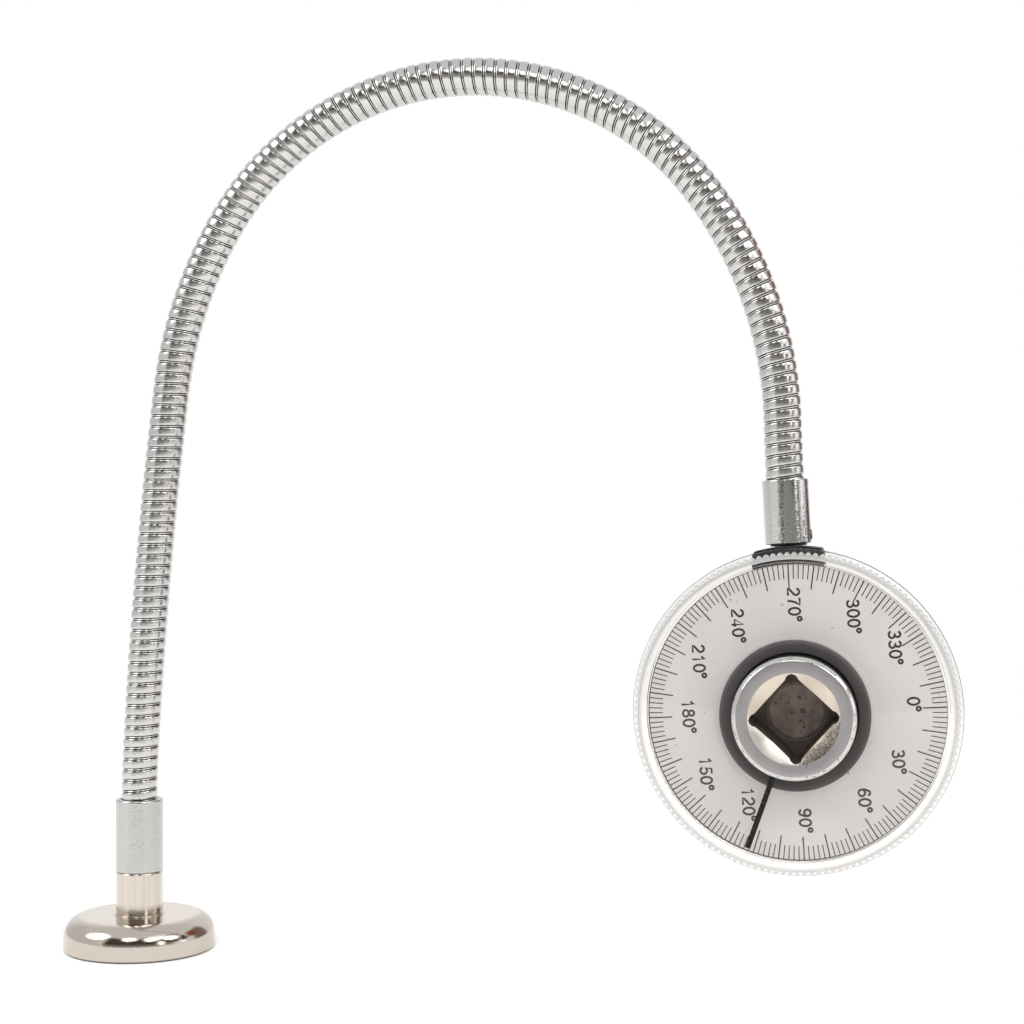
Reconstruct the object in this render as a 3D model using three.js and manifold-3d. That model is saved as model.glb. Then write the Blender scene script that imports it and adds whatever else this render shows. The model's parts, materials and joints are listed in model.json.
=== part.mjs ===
// A torque angle gauge for a half-inch square drive, in millimetres, with +Z up.
// A magnet foot carries a wound steel gooseneck. The gooseneck arches over in the XZ plane and holds
// the dial head. A drive spindle runs through the head along Y: the wrench goes in from -Y and the
// socket fits on at +Y. The origin is the centre of the magnet's bottom face.
import * as THREE from "three";
import { mergeVertices } from "three/addons/utils/BufferGeometryUtils.js";
import Module from "manifold-3d";

const wasm = await Module();
wasm.setup();

// Fits between pieces
const seatGap = 0.15; // between two pieces that rest on each other
const fitGap = 0.15; // radial play of a pin, stud or bush in its hole
const runningGap = 0.25; // between pieces that turn past each other
const cutOverrun = 1; // how far a cutting body passes the face that it cuts

// Steps round a circle, along a rounded edge and along a small lip
const wideSteps = 40;
const midSteps = 24;
const smallSteps = 16;
const arcSteps = 5;
const lipSteps = 2;

// Magnet foot
const magnetDiameter = 25.2;
const magnetThickness = 5;
const linerWidth = 1.1;
const linerRecess = 0.25; // the liner sits this far above the magnet's bottom face
const cupWall = 2.7;
const cupRoof = 2.35;
const cupShoulder = 4.4; // radius of the rounded shoulder
const cupFootBevel = 0.35;

// Post and lower ferrule
const washerDiameter = 11;
const washerThickness = 0.25;
const postDiameter = 10.3;
const postHeight = 9.35;
const postBevel = 0.4;
const footStudDiameter = 5;
const footStudGrip = 6; // how far the stud reaches into the ferrule
const lowerFerruleWall = 1.05; // round the gooseneck
const lowerFerruleLength = 16;
const lowerFerruleLip = 0.4; // radius of the rim that the gooseneck comes out of
const ferruleEdge = 0.2; // bevel of the other rims

// Gooseneck: tangent arcs from the lower ferrule to the upper one, with their angles in degrees
const mouthArcLength = 9;
const mouthArcAngle = 3.1;
const riseLength = 82;
const riseAngle = 4;
const lowerShoulderLength = 38.5;
const lowerShoulderAngle = 23.8;
const archLength = 123.4;
const archAngle = 111.9;
const upperShoulderLength = 53.4;
const upperShoulderAngle = 35.6;
const tailLength = 12.4;
const tailAngle = -1.6;
const armDiameter = 8.05;
const grooveDepth = 0.55;
const armBore = 4.4;
const armTurns = 134; // turns of the wire between the two ferrules
const turnsInFerrule = 3; // turns held inside each ferrule
const ribPoints = 8;
const ribsPerBoreRing = 5;
const hingeGap = 0.2; // between two arm sections, on the centreline
const hingeLeanAngle = 6.6; // degrees that each section's end face leans back
// Hinge places along the arm between the ferrules
const hingeShares = [1 / 16, 3 / 16, 5 / 16, 7 / 16, 9 / 16, 11 / 16, 13 / 16, 15 / 16];

// Upper ferrule, neck and stud
const upperFerruleWall = 0.65; // round the gooseneck
const upperFerruleLength = 13.4;
const headStudDiameter = 6;
const headStudGrip = 4.2; // how far the stud reaches into the ferrule
const headStudDepth = 12; // how far it reaches into the housing's lug
const neckWall = 0.65;
const neckHeight = 0.5;
const setScrewDiameter = 2;
const setScrewHeight = 1.7; // above the ferrule's lower end
const setScrewProud = 0.15;

// Scale and rear housing, whose places along Y are measured from the arm's plane
const scaleDiameter = 60.6;
const scaleThickness = 0.8;
const scaleStandOff = 9.2; // from the arm's plane forward to the scale's face
const scaleHoleGap = 1.8; // between the collar and the scale's hole
const housingInset = 0.8; // the housing is smaller than the scale by this much all round
const housingRear = 8;
const housingWall = 2.2;
const housingBack = 2.5;
const bossWall = 2.7;
const lugWidth = 14.6;
const lugCorner = 2;
const lugRear = 5.6;
const lugProud = 0.3; // how far the lug stands out past the cover's flange
const lugFloor = 1.9; // under the stud

// Clear cover
const rimWall = 1.6; // between the scale and the roots of the knurl
const knurlDepth = 0.7;
const knurlTeeth = 142;
const knurlWidth = 2.6; // along Y
const flangeLip = 0.7; // how far the flange stands out past the knurl
const flangeThickness = 1.4;
const flangeBehind = 0.8; // how far the flange reaches behind the scale
const rimBevel = 0.8;
const rimLand = 0.8;
const domeRise = 4; // from the rim to the top of the dome at the hub
const domePower = 1.5; // how the dome falls from the hub to the rim
const domeSteps = 5;
const coverWall = 2;
const hubRecess = 3.9; // depth of the hub's recess under the top of the dome
const hubFloor = 2.2;
const coverPlay = 0.85; // between the collar and the cover's bore

// Hub ring, pointer and friction ring
const hubRingGap = 0.3; // between the collar and the hub ring
const hubRingWidth = 2.4;
const hubRingProud = 0.2; // above the top of the dome
const hubRingDish = 1.8; // how far its inner edge lies behind the outer one
const hubRingLip = 0.5;
const pointerWidth = 1.1;
const pointerThickness = 0.45;
const pointerShort = 1.4; // between its tip and the scale's edge
const pointerAngle = 113.5; // degrees clockwise from +X as the dial is seen
const frictionRingWire = 1.3;
const frictionRingSink = 0.6; // how far it lies in the collar's groove
const frictionRingSteps = 6;

// Drive spindle
const collarDiameter = 24.8;
const collarStandOff = 22; // from the arm's plane forward to the collar's face
const collarLength = 17.5;
const collarBevel = 1.07;
const spindleDiameter = 17.2;
const spindleShoulder = 0.75; // round end beyond the retaining ring's groove
const squareSide = 12.7;
const squareLength = 15.4;
const squareCorner = 0.58; // taken off each corner of the male square, along the diagonal
const squareEndBevel = 1.1;
const socketSide = 12.8;
const socketFloor = 1.5; // metal between the socket's bottom and the back of the collar
const socketLobeDiameter = 2.6;
const socketLobeInset = 1.45; // from the socket's sharp corner in to the lobe's centre
const countersinkWidth = 2.75; // beyond the socket's flats
const countersinkDepth = 1.6;
const driveAngle = 45; // degrees that the squares are turned in the head
const bushWall = 1.5;
const thrustWasherWidth = 3.2;
const thrustWasherThickness = 0.5;
const rearWasherWidth = 3.2;
const rearWasherThickness = 0.5;
const snapGroove = 0.6; // depth of the retaining ring's groove
const snapRingWidth = 2.4;
const snapRingThickness = 1;
const snapRingMouth = 5; // width of its opening

// Detent in the male square
const detentPlace = 8.4; // from the end of the round spindle along the square
const detentDepth = 8.9;
const ballDiameter = 4;
const ballProud = 0.6;
const detentSpringPlay = 0.35; // between the spring and the ball's diameter, all round
const detentSpringWire = 0.5;
const detentSpringPitch = 0.85;
const wireSides = 5;
const curlSteps = 8;

const upright = Math.PI / 2;
const fullTurn = Math.PI * 2;
const radians = THREE.MathUtils.degToRad;

// Finishes
function finish(color, metalness, roughness, opacity = 1) {
  return new THREE.MeshStandardMaterial({
    color,
    metalness,
    roughness,
    opacity,
    transparent: opacity < 1,
  });
}
const polishedNickel = finish(0xcfc6bb, 1, 0.15);
const satinChrome = finish(0xc4c3c2, 1, 0.35);
const woundSteel = finish(0xb9b9b8, 1, 0.2);
const greySteel = finish(0x8f8d8c, 1, 0.45);
const blackPlastic = finish(0x1b1a1b, 0, 0.5);
const darkPlastic = finish(0x474345, 0, 0.55);
const blackRubber = finish(0x202020, 0, 0.8);
const scaleMetal = finish(0xd2cdc9, 0.3, 0.5);
const clearPlastic = finish(0xf4f3f1, 0, 0.08, 0.35);
const pointerInk = finish(0x191514, 0, 0.5);
const bronze = finish(0xa97c45, 1, 0.4);
const magnetBlack = finish(0x35322f, 0.2, 0.6);
const linerResin = finish(0x6f6a62, 0, 0.6);

// A geometry as a closed solid, and back
function solidOf(geometry) {
  const bare = geometry.clone();
  bare.deleteAttribute("normal");
  bare.deleteAttribute("uv");
  const merged = mergeVertices(bare);
  const corners = merged.index.array;
  const kept = [];
  for (let i = 0; i < corners.length; i += 3) {
    const [a, b, c] = corners.slice(i, i + 3);
    if (a !== b && b !== c && c !== a) kept.push(a, b, c);
  }
  const vertProperties = new Float32Array(merged.attributes.position.array);
  return new wasm.Manifold(
    new wasm.Mesh({ numProp: 3, vertProperties, triVerts: new Uint32Array(kept) }),
  );
}

function geometryOf(solid) {
  const mesh = solid.getMesh();
  const geometry = new THREE.BufferGeometry();
  geometry.setAttribute("position", new THREE.BufferAttribute(new Float32Array(mesh.vertProperties), 3));
  geometry.setIndex(new THREE.BufferAttribute(new Uint32Array(mesh.triVerts), 1));
  geometry.computeVertexNormals();
  return geometry;
}

const cut = (body, ...tools) =>
  geometryOf(tools.reduce((left, tool) => left.subtract(solidOf(tool)), solidOf(body)));
const join = (...bodies) =>
  geometryOf(bodies.slice(1).reduce((sum, body) => sum.add(solidOf(body)), solidOf(bodies[0])));

// A turned piece about the Y axis. The outline's points are [radius, height along Y].
function turned(outline, steps = midSteps) {
  const points = outline.map(([radius, height]) => new THREE.Vector2(radius, height));
  if (THREE.ShapeUtils.area(points) < 0) points.reverse();
  const onAxis = points.filter((point) => point.x === 0).length > 0;
  if (onAxis) {
    // start just after the stretch that lies on the axis
    while (!(points[0].x === 0 && points.at(-1).x === 0)) points.push(points.shift());
  } else {
    points.push(points[0].clone());
  }
  return new THREE.LatheGeometry(points, steps);
}

// A plain ring or tube between two radii and two heights
const ring = (inner, outer, low, high, steps = midSteps) =>
  turned([[inner, low], [outer, low], [outer, high], [inner, high]], steps);

const rod = (radius, low, high, steps = smallSteps) =>
  turned([[0, low], [radius, low], [radius, high], [0, high]], steps);

// Points of a rounded upper edge: a quarter circle about its centre, from the side to the top
function rounded(x, y, radius, steps = arcSteps) {
  return Array.from({ length: steps + 1 }, (_, i) => {
    const angle = (upright * i) / steps;
    return [x + radius * Math.cos(angle), y + radius * Math.sin(angle)];
  });
}

// A flat shape in the XZ plane, thickened from one Y to another
function slab(shape, front, rear, curveSegments = arcSteps) {
  const depth = rear - front;
  const geometry = new THREE.ExtrudeGeometry(shape, { depth, bevelEnabled: false, curveSegments });
  geometry.rotateX(upright);
  geometry.translate(0, rear, 0);
  return geometry;
}

function piece(name, geometry, material) {
  const mesh = new THREE.Mesh(geometry, material);
  mesh.name = name;
  return mesh;
}

// Heights and radii that the foot's pieces share
const roofUnder = magnetThickness + seatGap;
const cupTop = roofUnder + cupRoof;
const washerTop = cupTop + washerThickness;
const postTop = washerTop + postHeight;
const ferruleTop = postTop + lowerFerruleLength;
const magnetRadius = magnetDiameter / 2;
const linerRadius = magnetRadius + seatGap + linerWidth;
const cavityRadius = linerRadius + seatGap;
const footBore = footStudDiameter / 2 + fitGap;

function magnetCup() {
  const outer = cavityRadius + cupWall;
  return turned([
    [outer - cupFootBevel, 0],
    [outer, cupFootBevel],
    ...rounded(outer - cupShoulder, cupTop - cupShoulder, cupShoulder),
    [footBore, cupTop],
    [footBore, roofUnder],
    [cavityRadius, roofUnder],
    [cavityRadius, 0],
  ], wideSteps);
}

const magnetDisc = () => rod(magnetRadius, 0, magnetThickness, midSteps);
const magnetLiner = () => ring(magnetRadius + seatGap, linerRadius, linerRecess, magnetThickness);
const postWasher = () => ring(footBore, washerDiameter / 2, cupTop, washerTop);
const footStud = () => rod(footStudDiameter / 2, roofUnder, postTop + footStudGrip);

function basePost() {
  const outer = postDiameter / 2;
  return turned([
    [footBore, washerTop],
    [outer, washerTop],
    [outer, postTop - postBevel],
    [outer - postBevel, postTop],
    [footBore, postTop],
  ]);
}

// The gooseneck's pitch, and how deep it goes into each ferrule
const armArcs = [
  [mouthArcLength, mouthArcAngle],
  [riseLength, riseAngle],
  [lowerShoulderLength, lowerShoulderAngle],
  [archLength, archAngle],
  [upperShoulderLength, upperShoulderAngle],
  [tailLength, tailAngle],
];
const armLength = armArcs.reduce((sum, [length]) => sum + length, 0);
const pitch = armLength / armTurns;
const armSocketDepth = turnsInFerrule * pitch + seatGap;
const armSocketRadius = armDiameter / 2 + fitGap;

function lowerFerrule() {
  const outer = armSocketRadius + lowerFerruleWall;
  const lip = lowerFerruleLip;
  return turned([
    [footBore, postTop],
    [outer - ferruleEdge, postTop],
    [outer, postTop + ferruleEdge],
    ...rounded(outer - lip, ferruleTop - lip, lip, lipSteps),
    [armSocketRadius, ferruleTop],
    [armSocketRadius, ferruleTop - armSocketDepth],
    [footBore, ferruleTop - armSocketDepth],
  ]);
}

// Where the gooseneck's centreline is at a distance s from the lower ferrule's mouth, and its heading
// in the XZ plane, from +Z towards +X. Beyond both ends it runs straight on into the ferrules.
function armAt(s) {
  let x = 0;
  let z = ferruleTop;
  let heading = 0;
  let left = s;
  if (s < 0) return { x, z: z + s, heading };
  for (const [length, bend] of armArcs) {
    const run = Math.min(left, length);
    const turn = (radians(bend) * run) / length;
    const chord = run * (turn === 0 ? 1 : Math.sin(turn / 2) / (turn / 2));
    x += chord * Math.sin(heading + turn / 2);
    z += chord * Math.cos(heading + turn / 2);
    heading += turn;
    left -= run;
  }
  return { x: x + left * Math.sin(heading), z: z + left * Math.cos(heading), heading };
}

// The eight points of one ring round the centreline
function armRing(s, radius) {
  const { x, z, heading } = armAt(s);
  return Array.from({ length: ribPoints }, (_, i) => {
    const angle = (fullTurn * i) / ribPoints;
    const out = radius * Math.cos(angle);
    return [x + out * Math.cos(heading), radius * Math.sin(angle), z - out * Math.sin(heading)];
  });
}

// One length of ribbed tube from turn to turn, with a crest in the middle of each turn. An end that
// meets a hinge leans back from it, so that the arm can bend there.
function armSection(firstTurn, lastTurn, hingeBefore, hingeAfter) {
  const crest = armDiameter / 2;
  const groove = crest - grooveDepth;
  const bore = armBore / 2;
  const setback = (radius) => hingeGap / 2 + radius * Math.tan(radians(hingeLeanAngle));
  const start = (radius) => firstTurn * pitch + (hingeBefore ? setback(radius) : 0);
  const end = (radius) => lastTurn * pitch - (hingeAfter ? setback(radius) : 0);

  const outer = [armRing(start(groove), groove)];
  for (let turn = firstTurn; turn < lastTurn; turn++) {
    outer.push(armRing((turn + 1 / 2) * pitch, crest));
    if (turn + 1 < lastTurn) outer.push(armRing((turn + 1) * pitch, groove));
  }
  outer.push(armRing(end(groove), groove));

  const inner = [armRing(start(bore), bore)];
  for (let turn = firstTurn + ribsPerBoreRing; turn < lastTurn; turn += ribsPerBoreRing) {
    inner.push(armRing(turn * pitch, bore));
  }
  inner.push(armRing(end(bore), bore));

  // each strip joins a ring to the next: up the outside, over the end, down the bore and over the start
  const rings = [...outer, ...inner.reverse()];
  const faces = rings.flatMap((_, low) => {
    const high = (low + 1) % rings.length;
    return Array.from({ length: ribPoints }, (_, i) => {
      const next = (i + 1) % ribPoints;
      const [a, b] = [low * ribPoints + i, low * ribPoints + next];
      const [c, d] = [high * ribPoints + next, high * ribPoints + i];
      return [a, b, c, a, c, d];
    }).flat();
  });
  const geometry = new THREE.BufferGeometry();
  geometry.setAttribute("position", new THREE.Float32BufferAttribute(rings.flat(2), 3));
  geometry.setIndex(faces);
  geometry.computeVertexNormals();
  return geometry;
}

const hingeTurns = hingeShares.map((share) => Math.round(share * armTurns));

function gooseneck() {
  const stops = [-turnsInFerrule, ...hingeTurns, armTurns + turnsInFerrule];
  return stops.slice(1).map((stop, i) => {
    const section = armSection(stops[i], stop, i > 0, i + 2 < stops.length);
    return piece(`gooseneck_${i + 1}`, section, woundSteel);
  });
}

// Radii that the head's pieces share, from the spindle outwards
const collarRadius = collarDiameter / 2;
const spindleRadius = spindleDiameter / 2;
const bushBore = spindleRadius + fitGap;
const bushRadius = bushBore + bushWall;
const bossBore = bushRadius + fitGap;
const hubRingBore = collarRadius + hubRingGap;
const hubRingRadius = hubRingBore + hubRingWidth;
const hubSeatRadius = hubRingRadius + fitGap;
const scaleRadius = scaleDiameter / 2;
const scaleRoom = scaleRadius + runningGap;
const knurlRoot = scaleRoom + rimWall;
const knurlTip = knurlRoot + knurlDepth;
const flangeRadius = knurlTip + flangeLip;

// Places along Y that they share: the front of the head faces -Y
const scaleFront = -scaleStandOff;
const scaleRear = scaleFront + scaleThickness;
const housingFront = scaleRear + seatGap;
const flangeRear = scaleRear + flangeBehind;
const flangeFront = flangeRear - flangeThickness;
const knurlFront = flangeFront - knurlWidth;
const rimTop = knurlFront - rimBevel;
const domeTop = rimTop - domeRise;
const hubSeat = domeTop + hubRecess;
const hubFloorRear = hubSeat + hubFloor;
const collarFront = -collarStandOff;
const collarRear = collarFront + collarLength;
const thrustWasherFront = collarRear + seatGap;
const bossFront = thrustWasherFront + thrustWasherThickness + seatGap;
const rearWasherFront = housingRear + seatGap;
const snapRingFront = rearWasherFront + rearWasherThickness + seatGap;
const snapRingRear = snapRingFront + snapRingThickness;
const spindleEnd = snapRingRear + seatGap + spindleShoulder;

// Distances from the spindle axis towards the upper ferrule
const lugTop = flangeRadius + lugProud;
const headReach = lugTop + neckHeight;
const upperFerruleTop = headReach + upperFerruleLength;
const headBore = headStudDiameter / 2 + fitGap;
const upperFerruleRadius = armSocketRadius + upperFerruleWall;

function upperFerrule() {
  const edge = ferruleEdge;
  const body = turned([
    [headBore, headReach],
    [upperFerruleRadius - edge, headReach],
    [upperFerruleRadius, headReach + edge],
    [upperFerruleRadius, upperFerruleTop - edge],
    [upperFerruleRadius - edge, upperFerruleTop],
    [armSocketRadius, upperFerruleTop],
    [armSocketRadius, upperFerruleTop - armSocketDepth],
    [headBore, upperFerruleTop - armSocketDepth],
  ]);
  const hole = rod(setScrewDiameter / 2 + fitGap, 0, upperFerruleRadius + cutOverrun);
  return cut(body, acrossFerrule(hole));
}

// A piece turned about Y, laid along +X at the set screw's height
function acrossFerrule(geometry) {
  geometry.rotateZ(-upright);
  geometry.translate(0, headReach + setScrewHeight, 0);
  return geometry;
}

const setScrew = () =>
  acrossFerrule(rod(setScrewDiameter / 2, headBore, upperFerruleRadius + setScrewProud));

const headNeck = () =>
  ring(headBore, headBore + neckWall, lugTop + seatGap / 2, headReach - seatGap / 2);

const headStud = () =>
  rod(headStudDiameter / 2, lugTop - headStudDepth + seatGap, headReach + headStudGrip);

function rearHousing() {
  const outer = scaleRadius - housingInset;
  const inner = outer - housingWall;
  const boss = bossBore + bossWall;
  const floor = housingRear - housingBack;
  const shell = turned([
    [bossBore, housingRear],
    [bossBore, bossFront],
    [boss, bossFront],
    [boss, floor],
    [inner, floor],
    [inner, housingFront],
    [outer, housingFront],
    [outer, housingRear - housingBack / 2],
    [outer - housingBack / 2, housingRear],
  ], wideSteps);

  const half = lugWidth / 2;
  const lugShape = new THREE.Shape();
  const shoulder = lugTop - lugCorner;
  lugShape.moveTo(-half, lugTop - headStudDepth - lugFloor);
  lugShape.lineTo(half, lugTop - headStudDepth - lugFloor);
  lugShape.absarc(half - lugCorner, shoulder, lugCorner, 0, upright, false);
  lugShape.absarc(lugCorner - half, shoulder, lugCorner, upright, 2 * upright, false);
  const lug = slab(lugShape, flangeRear + runningGap, lugRear);
  const studHole = rod(headBore, lugTop - headStudDepth, lugTop + cutOverrun);
  return cut(join(shell, lug), studHole.rotateX(upright));
}

const scaleDisc = () =>
  ring(collarRadius + scaleHoleGap, scaleRadius, scaleFront, scaleRear, wideSteps);

// Front of the clear dome at a distance from the spindle axis
const domeEdge = knurlRoot - rimBevel - rimLand;
function domeAt(radius) {
  const share = (radius - hubSeatRadius) / (domeEdge - hubSeatRadius);
  return domeTop + domeRise * Math.max(share, 0) ** domePower;
}

function knurledCover() {
  const bore = collarRadius + coverPlay;
  const wallInside = hubSeatRadius + coverWall;
  const radii = Array.from(
    { length: domeSteps + 1 },
    (_, i) => hubSeatRadius + ((domeEdge - hubSeatRadius) * i) / domeSteps,
  );
  const under = radii.slice(1, -1).reverse().filter((radius) => radius > wallInside);
  const body = turned([
    [bore, hubSeat],
    [hubSeatRadius, hubSeat],
    ...radii.map((radius) => [radius, domeAt(radius)]),
    [knurlRoot - rimBevel, rimTop],
    [knurlRoot, knurlFront],
    [knurlRoot, flangeFront],
    [flangeRadius, flangeFront],
    [flangeRadius, flangeRear],
    [scaleRoom, flangeRear],
    [scaleRoom, rimTop + coverWall],
    ...under.map((radius) => [radius, domeAt(radius) + coverWall]),
    [wallInside, domeAt(wallInside) + coverWall],
    [wallInside, hubFloorRear],
    [bore, hubFloorRear],
  ], wideSteps);

  const teeth = new THREE.Shape();
  for (let i = 0; i < 2 * knurlTeeth; i++) {
    const angle = (fullTurn * i) / (2 * knurlTeeth);
    const radius = i % 2 ? knurlTip : knurlRoot;
    const [x, y] = [radius * Math.cos(angle), radius * Math.sin(angle)];
    if (i === 0) teeth.moveTo(x, y);
    else teeth.lineTo(x, y);
  }
  const core = new THREE.Path();
  core.absarc(0, 0, knurlRoot - knurlDepth, 0, fullTurn, true);
  teeth.holes.push(core);
  return join(body, slab(teeth, knurlFront, flangeFront + seatGap, smallSteps));
}

function hubRing() {
  const front = domeTop - hubRingProud;
  return turned([
    [hubRingBore, hubSeat - seatGap],
    [hubRingRadius, hubSeat - seatGap],
    [hubRingRadius, front],
    [hubRingRadius - hubRingLip, front],
    [hubRingBore, front + hubRingDish],
  ], wideSteps);
}

// The bar bridges the dished hub ring and follows the dome outwards
function pointerBar() {
  const lift = domeTop - hubRingProud - seatGap;
  const tip = scaleRadius - pointerShort;
  const under = Array.from({ length: domeSteps + 1 }, (_, i) => {
    const radius = hubSeatRadius + ((tip - hubSeatRadius) * i) / domeSteps;
    return [radius, Math.min(domeAt(radius) - seatGap, i === 0 ? lift : 0)];
  });
  under.unshift([hubRingBore, lift]);
  const over = under.map(([radius, y]) => [radius, y - pointerThickness]).reverse();
  const side = new THREE.Shape([...under, ...over].map(([radius, y]) => new THREE.Vector2(radius, y)));
  const bar = new THREE.ExtrudeGeometry(side, { depth: pointerWidth, bevelEnabled: false });
  bar.translate(0, 0, -pointerWidth / 2);
  return bar.rotateY(radians(pointerAngle));
}

// The friction ring lies in a groove of the collar, inside the cover's bore
const frictionRadius = frictionRingWire / 2;
const frictionPlace = (hubSeat + hubFloorRear) / 2;
const frictionCentre = collarRadius - frictionRingSink + frictionRadius;

function frictionRing() {
  const outline = Array.from({ length: frictionRingSteps }, (_, i) => {
    const angle = (fullTurn * i) / frictionRingSteps;
    return [
      frictionCentre + frictionRadius * Math.cos(angle),
      frictionPlace + frictionRadius * Math.sin(angle),
    ];
  });
  return turned(outline);
}

function driveSpindle() {
  const frictionFloor = frictionCentre - frictionRadius - seatGap;
  const frictionHalf = frictionRadius + seatGap;
  const snapFloor = spindleRadius - snapGroove;
  const body = turned([
    [0, collarFront],
    [collarRadius - collarBevel, collarFront],
    [collarRadius, collarFront + collarBevel],
    [collarRadius, frictionPlace - frictionHalf],
    [frictionFloor, frictionPlace - frictionHalf],
    [frictionFloor, frictionPlace + frictionHalf],
    [collarRadius, frictionPlace + frictionHalf],
    [collarRadius, collarRear],
    [spindleRadius, collarRear],
    [spindleRadius, snapRingFront - seatGap],
    [snapFloor, snapRingFront - seatGap],
    [snapFloor, snapRingRear + seatGap],
    [spindleRadius, snapRingRear + seatGap],
    [spindleRadius, spindleEnd],
    [0, spindleEnd],
  ], wideSteps);
  const detentHole = rod(
    ballDiameter / 2 + fitGap,
    squareSide / 2 - detentDepth,
    squareSide / 2 + cutOverrun,
  );
  return cut(
    join(body, maleSquare()),
    slab(socketShape(), collarFront - cutOverrun, collarRear - socketFloor),
    countersink(),
    acrossSquare(detentHole),
  );
}

// The male square starts inside the end of the round spindle. Its corners are turned down.
function maleSquare() {
  const start = spindleEnd - spindleShoulder / 2;
  const tip = spindleEnd + squareLength;
  const square = new THREE.BoxGeometry(squareSide, tip - start, squareSide);
  square.translate(0, (start + tip) / 2, 0);
  const corner = squareSide * Math.SQRT1_2 - squareCorner;
  const round = turned([
    [0, start],
    [corner, start],
    [corner, tip - squareEndBevel],
    [corner - squareEndBevel, tip],
    [0, tip],
  ], wideSteps);
  return geometryOf(solidOf(square).intersect(solidOf(round)));
}

// The square socket, with a round relief in each corner
function socketShape() {
  const lobe = socketLobeDiameter / 2;
  const reach = socketSide * Math.SQRT1_2 - socketLobeInset;
  const lean = Math.acos((socketSide / 2 - reach * Math.SQRT1_2) / lobe);
  const shape = new THREE.Shape();
  for (let i = 0; i < 4; i++) {
    const quarter = i * upright;
    const x = reach * Math.cos(quarter + upright / 2);
    const y = reach * Math.sin(quarter + upright / 2);
    shape.absarc(x, y, lobe, quarter - lean, quarter + upright + lean, false);
  }
  return shape;
}

function countersink() {
  const wide = socketSide / 2 + countersinkWidth;
  const slope = countersinkWidth / countersinkDepth;
  return turned([
    [0, collarFront - cutOverrun],
    [wide + slope * cutOverrun, collarFront - cutOverrun],
    [wide - countersinkWidth, collarFront + countersinkDepth],
    [0, collarFront + countersinkDepth],
  ]);
}

// A piece turned about Y, laid along +X at the detent's place on the male square
function acrossSquare(geometry) {
  geometry.rotateZ(-upright);
  geometry.translate(0, spindleEnd + detentPlace, 0);
  return geometry;
}

const spindleBush = () => ring(bushBore, bushRadius, bossFront, housingRear);

const thrustWasher = () =>
  ring(bushBore, bushBore + thrustWasherWidth, thrustWasherFront, bossFront - seatGap);

const rearWasher = () =>
  ring(bushBore, bushBore + rearWasherWidth, rearWasherFront, snapRingFront - seatGap);

function retainingRing() {
  const inner = spindleRadius - snapGroove + fitGap;
  const outer = inner + snapRingWidth;
  const whole = ring(inner, outer, snapRingFront, snapRingRear);
  const mouth = new THREE.BoxGeometry(snapRingMouth, snapRingThickness + 2 * cutOverrun, 2 * outer);
  mouth.translate(0, (snapRingFront + snapRingRear) / 2, -outer);
  return cut(whole, mouth);
}

const ballFoot = squareSide / 2 + ballProud - ballDiameter;

function detentBall() {
  const ball = new THREE.SphereGeometry(ballDiameter / 2, smallSteps, smallSteps / 2);
  return acrossSquare(ball.translate(0, ballFoot + ballDiameter / 2, 0));
}

// A helix about the Y axis
class Helix extends THREE.Curve {
  constructor(radius, low, high, turns) {
    super();
    Object.assign(this, { radius, low, high, turns });
  }

  getPoint(share, point = new THREE.Vector3()) {
    const angle = fullTurn * this.turns * share;
    const height = this.low + (this.high - this.low) * share;
    return point.set(this.radius * Math.cos(angle), height, this.radius * Math.sin(angle));
  }
}

// The spring ends where the ball's foot comes to when the ball is pressed flush
function detentSpring() {
  const wire = detentSpringWire / 2;
  const low = squareSide / 2 - detentDepth + seatGap + wire;
  const high = ballFoot - ballProud - seatGap - wire;
  const turns = (high - low) / detentSpringPitch;
  const path = new Helix(ballDiameter / 2 - detentSpringPlay - wire, low, high, turns);
  const section = new THREE.Shape(
    Array.from({ length: wireSides }, (_, i) => {
      const angle = (fullTurn * i) / wireSides;
      return new THREE.Vector2(wire * Math.cos(angle), wire * Math.sin(angle));
    }),
  );
  const steps = Math.ceil(turns * curlSteps);
  return acrossSquare(new THREE.ExtrudeGeometry(section, { steps, bevelEnabled: false, extrudePath: path }));
}

// The foot's pieces are turned about Y, so their group stands that axis up
const foot = new THREE.Group();
foot.rotation.x = upright;
foot.add(
  piece("magnet_cup", magnetCup(), polishedNickel),
  piece("magnet_disc", magnetDisc(), magnetBlack),
  piece("magnet_liner", magnetLiner(), linerResin),
  piece("post_washer", postWasher(), polishedNickel),
  piece("base_post", basePost(), polishedNickel),
  piece("foot_stud", footStud(), greySteel),
  piece("lower_ferrule", lowerFerrule(), satinChrome),
);

// The head hangs on the arm's upper end, square to it
const armEnd = armAt(armLength);
const head = new THREE.Group();
head.position.set(
  armEnd.x + upperFerruleTop * Math.sin(armEnd.heading),
  0,
  armEnd.z + upperFerruleTop * Math.cos(armEnd.heading),
);
head.rotation.y = armEnd.heading - Math.PI;

// The pieces between the arm and the housing are turned about Y too
const hanger = new THREE.Group();
hanger.rotation.x = upright;
hanger.add(
  piece("upper_ferrule", upperFerrule(), satinChrome),
  piece("set_screw", setScrew(), greySteel),
  piece("head_neck", headNeck(), blackPlastic),
  piece("head_stud", headStud(), greySteel),
);

const drive = new THREE.Group();
drive.rotation.y = radians(driveAngle);
drive.add(
  piece("drive_spindle", driveSpindle(), satinChrome),
  piece("detent_ball", detentBall(), greySteel),
  piece("detent_spring", detentSpring(), greySteel),
);

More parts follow.
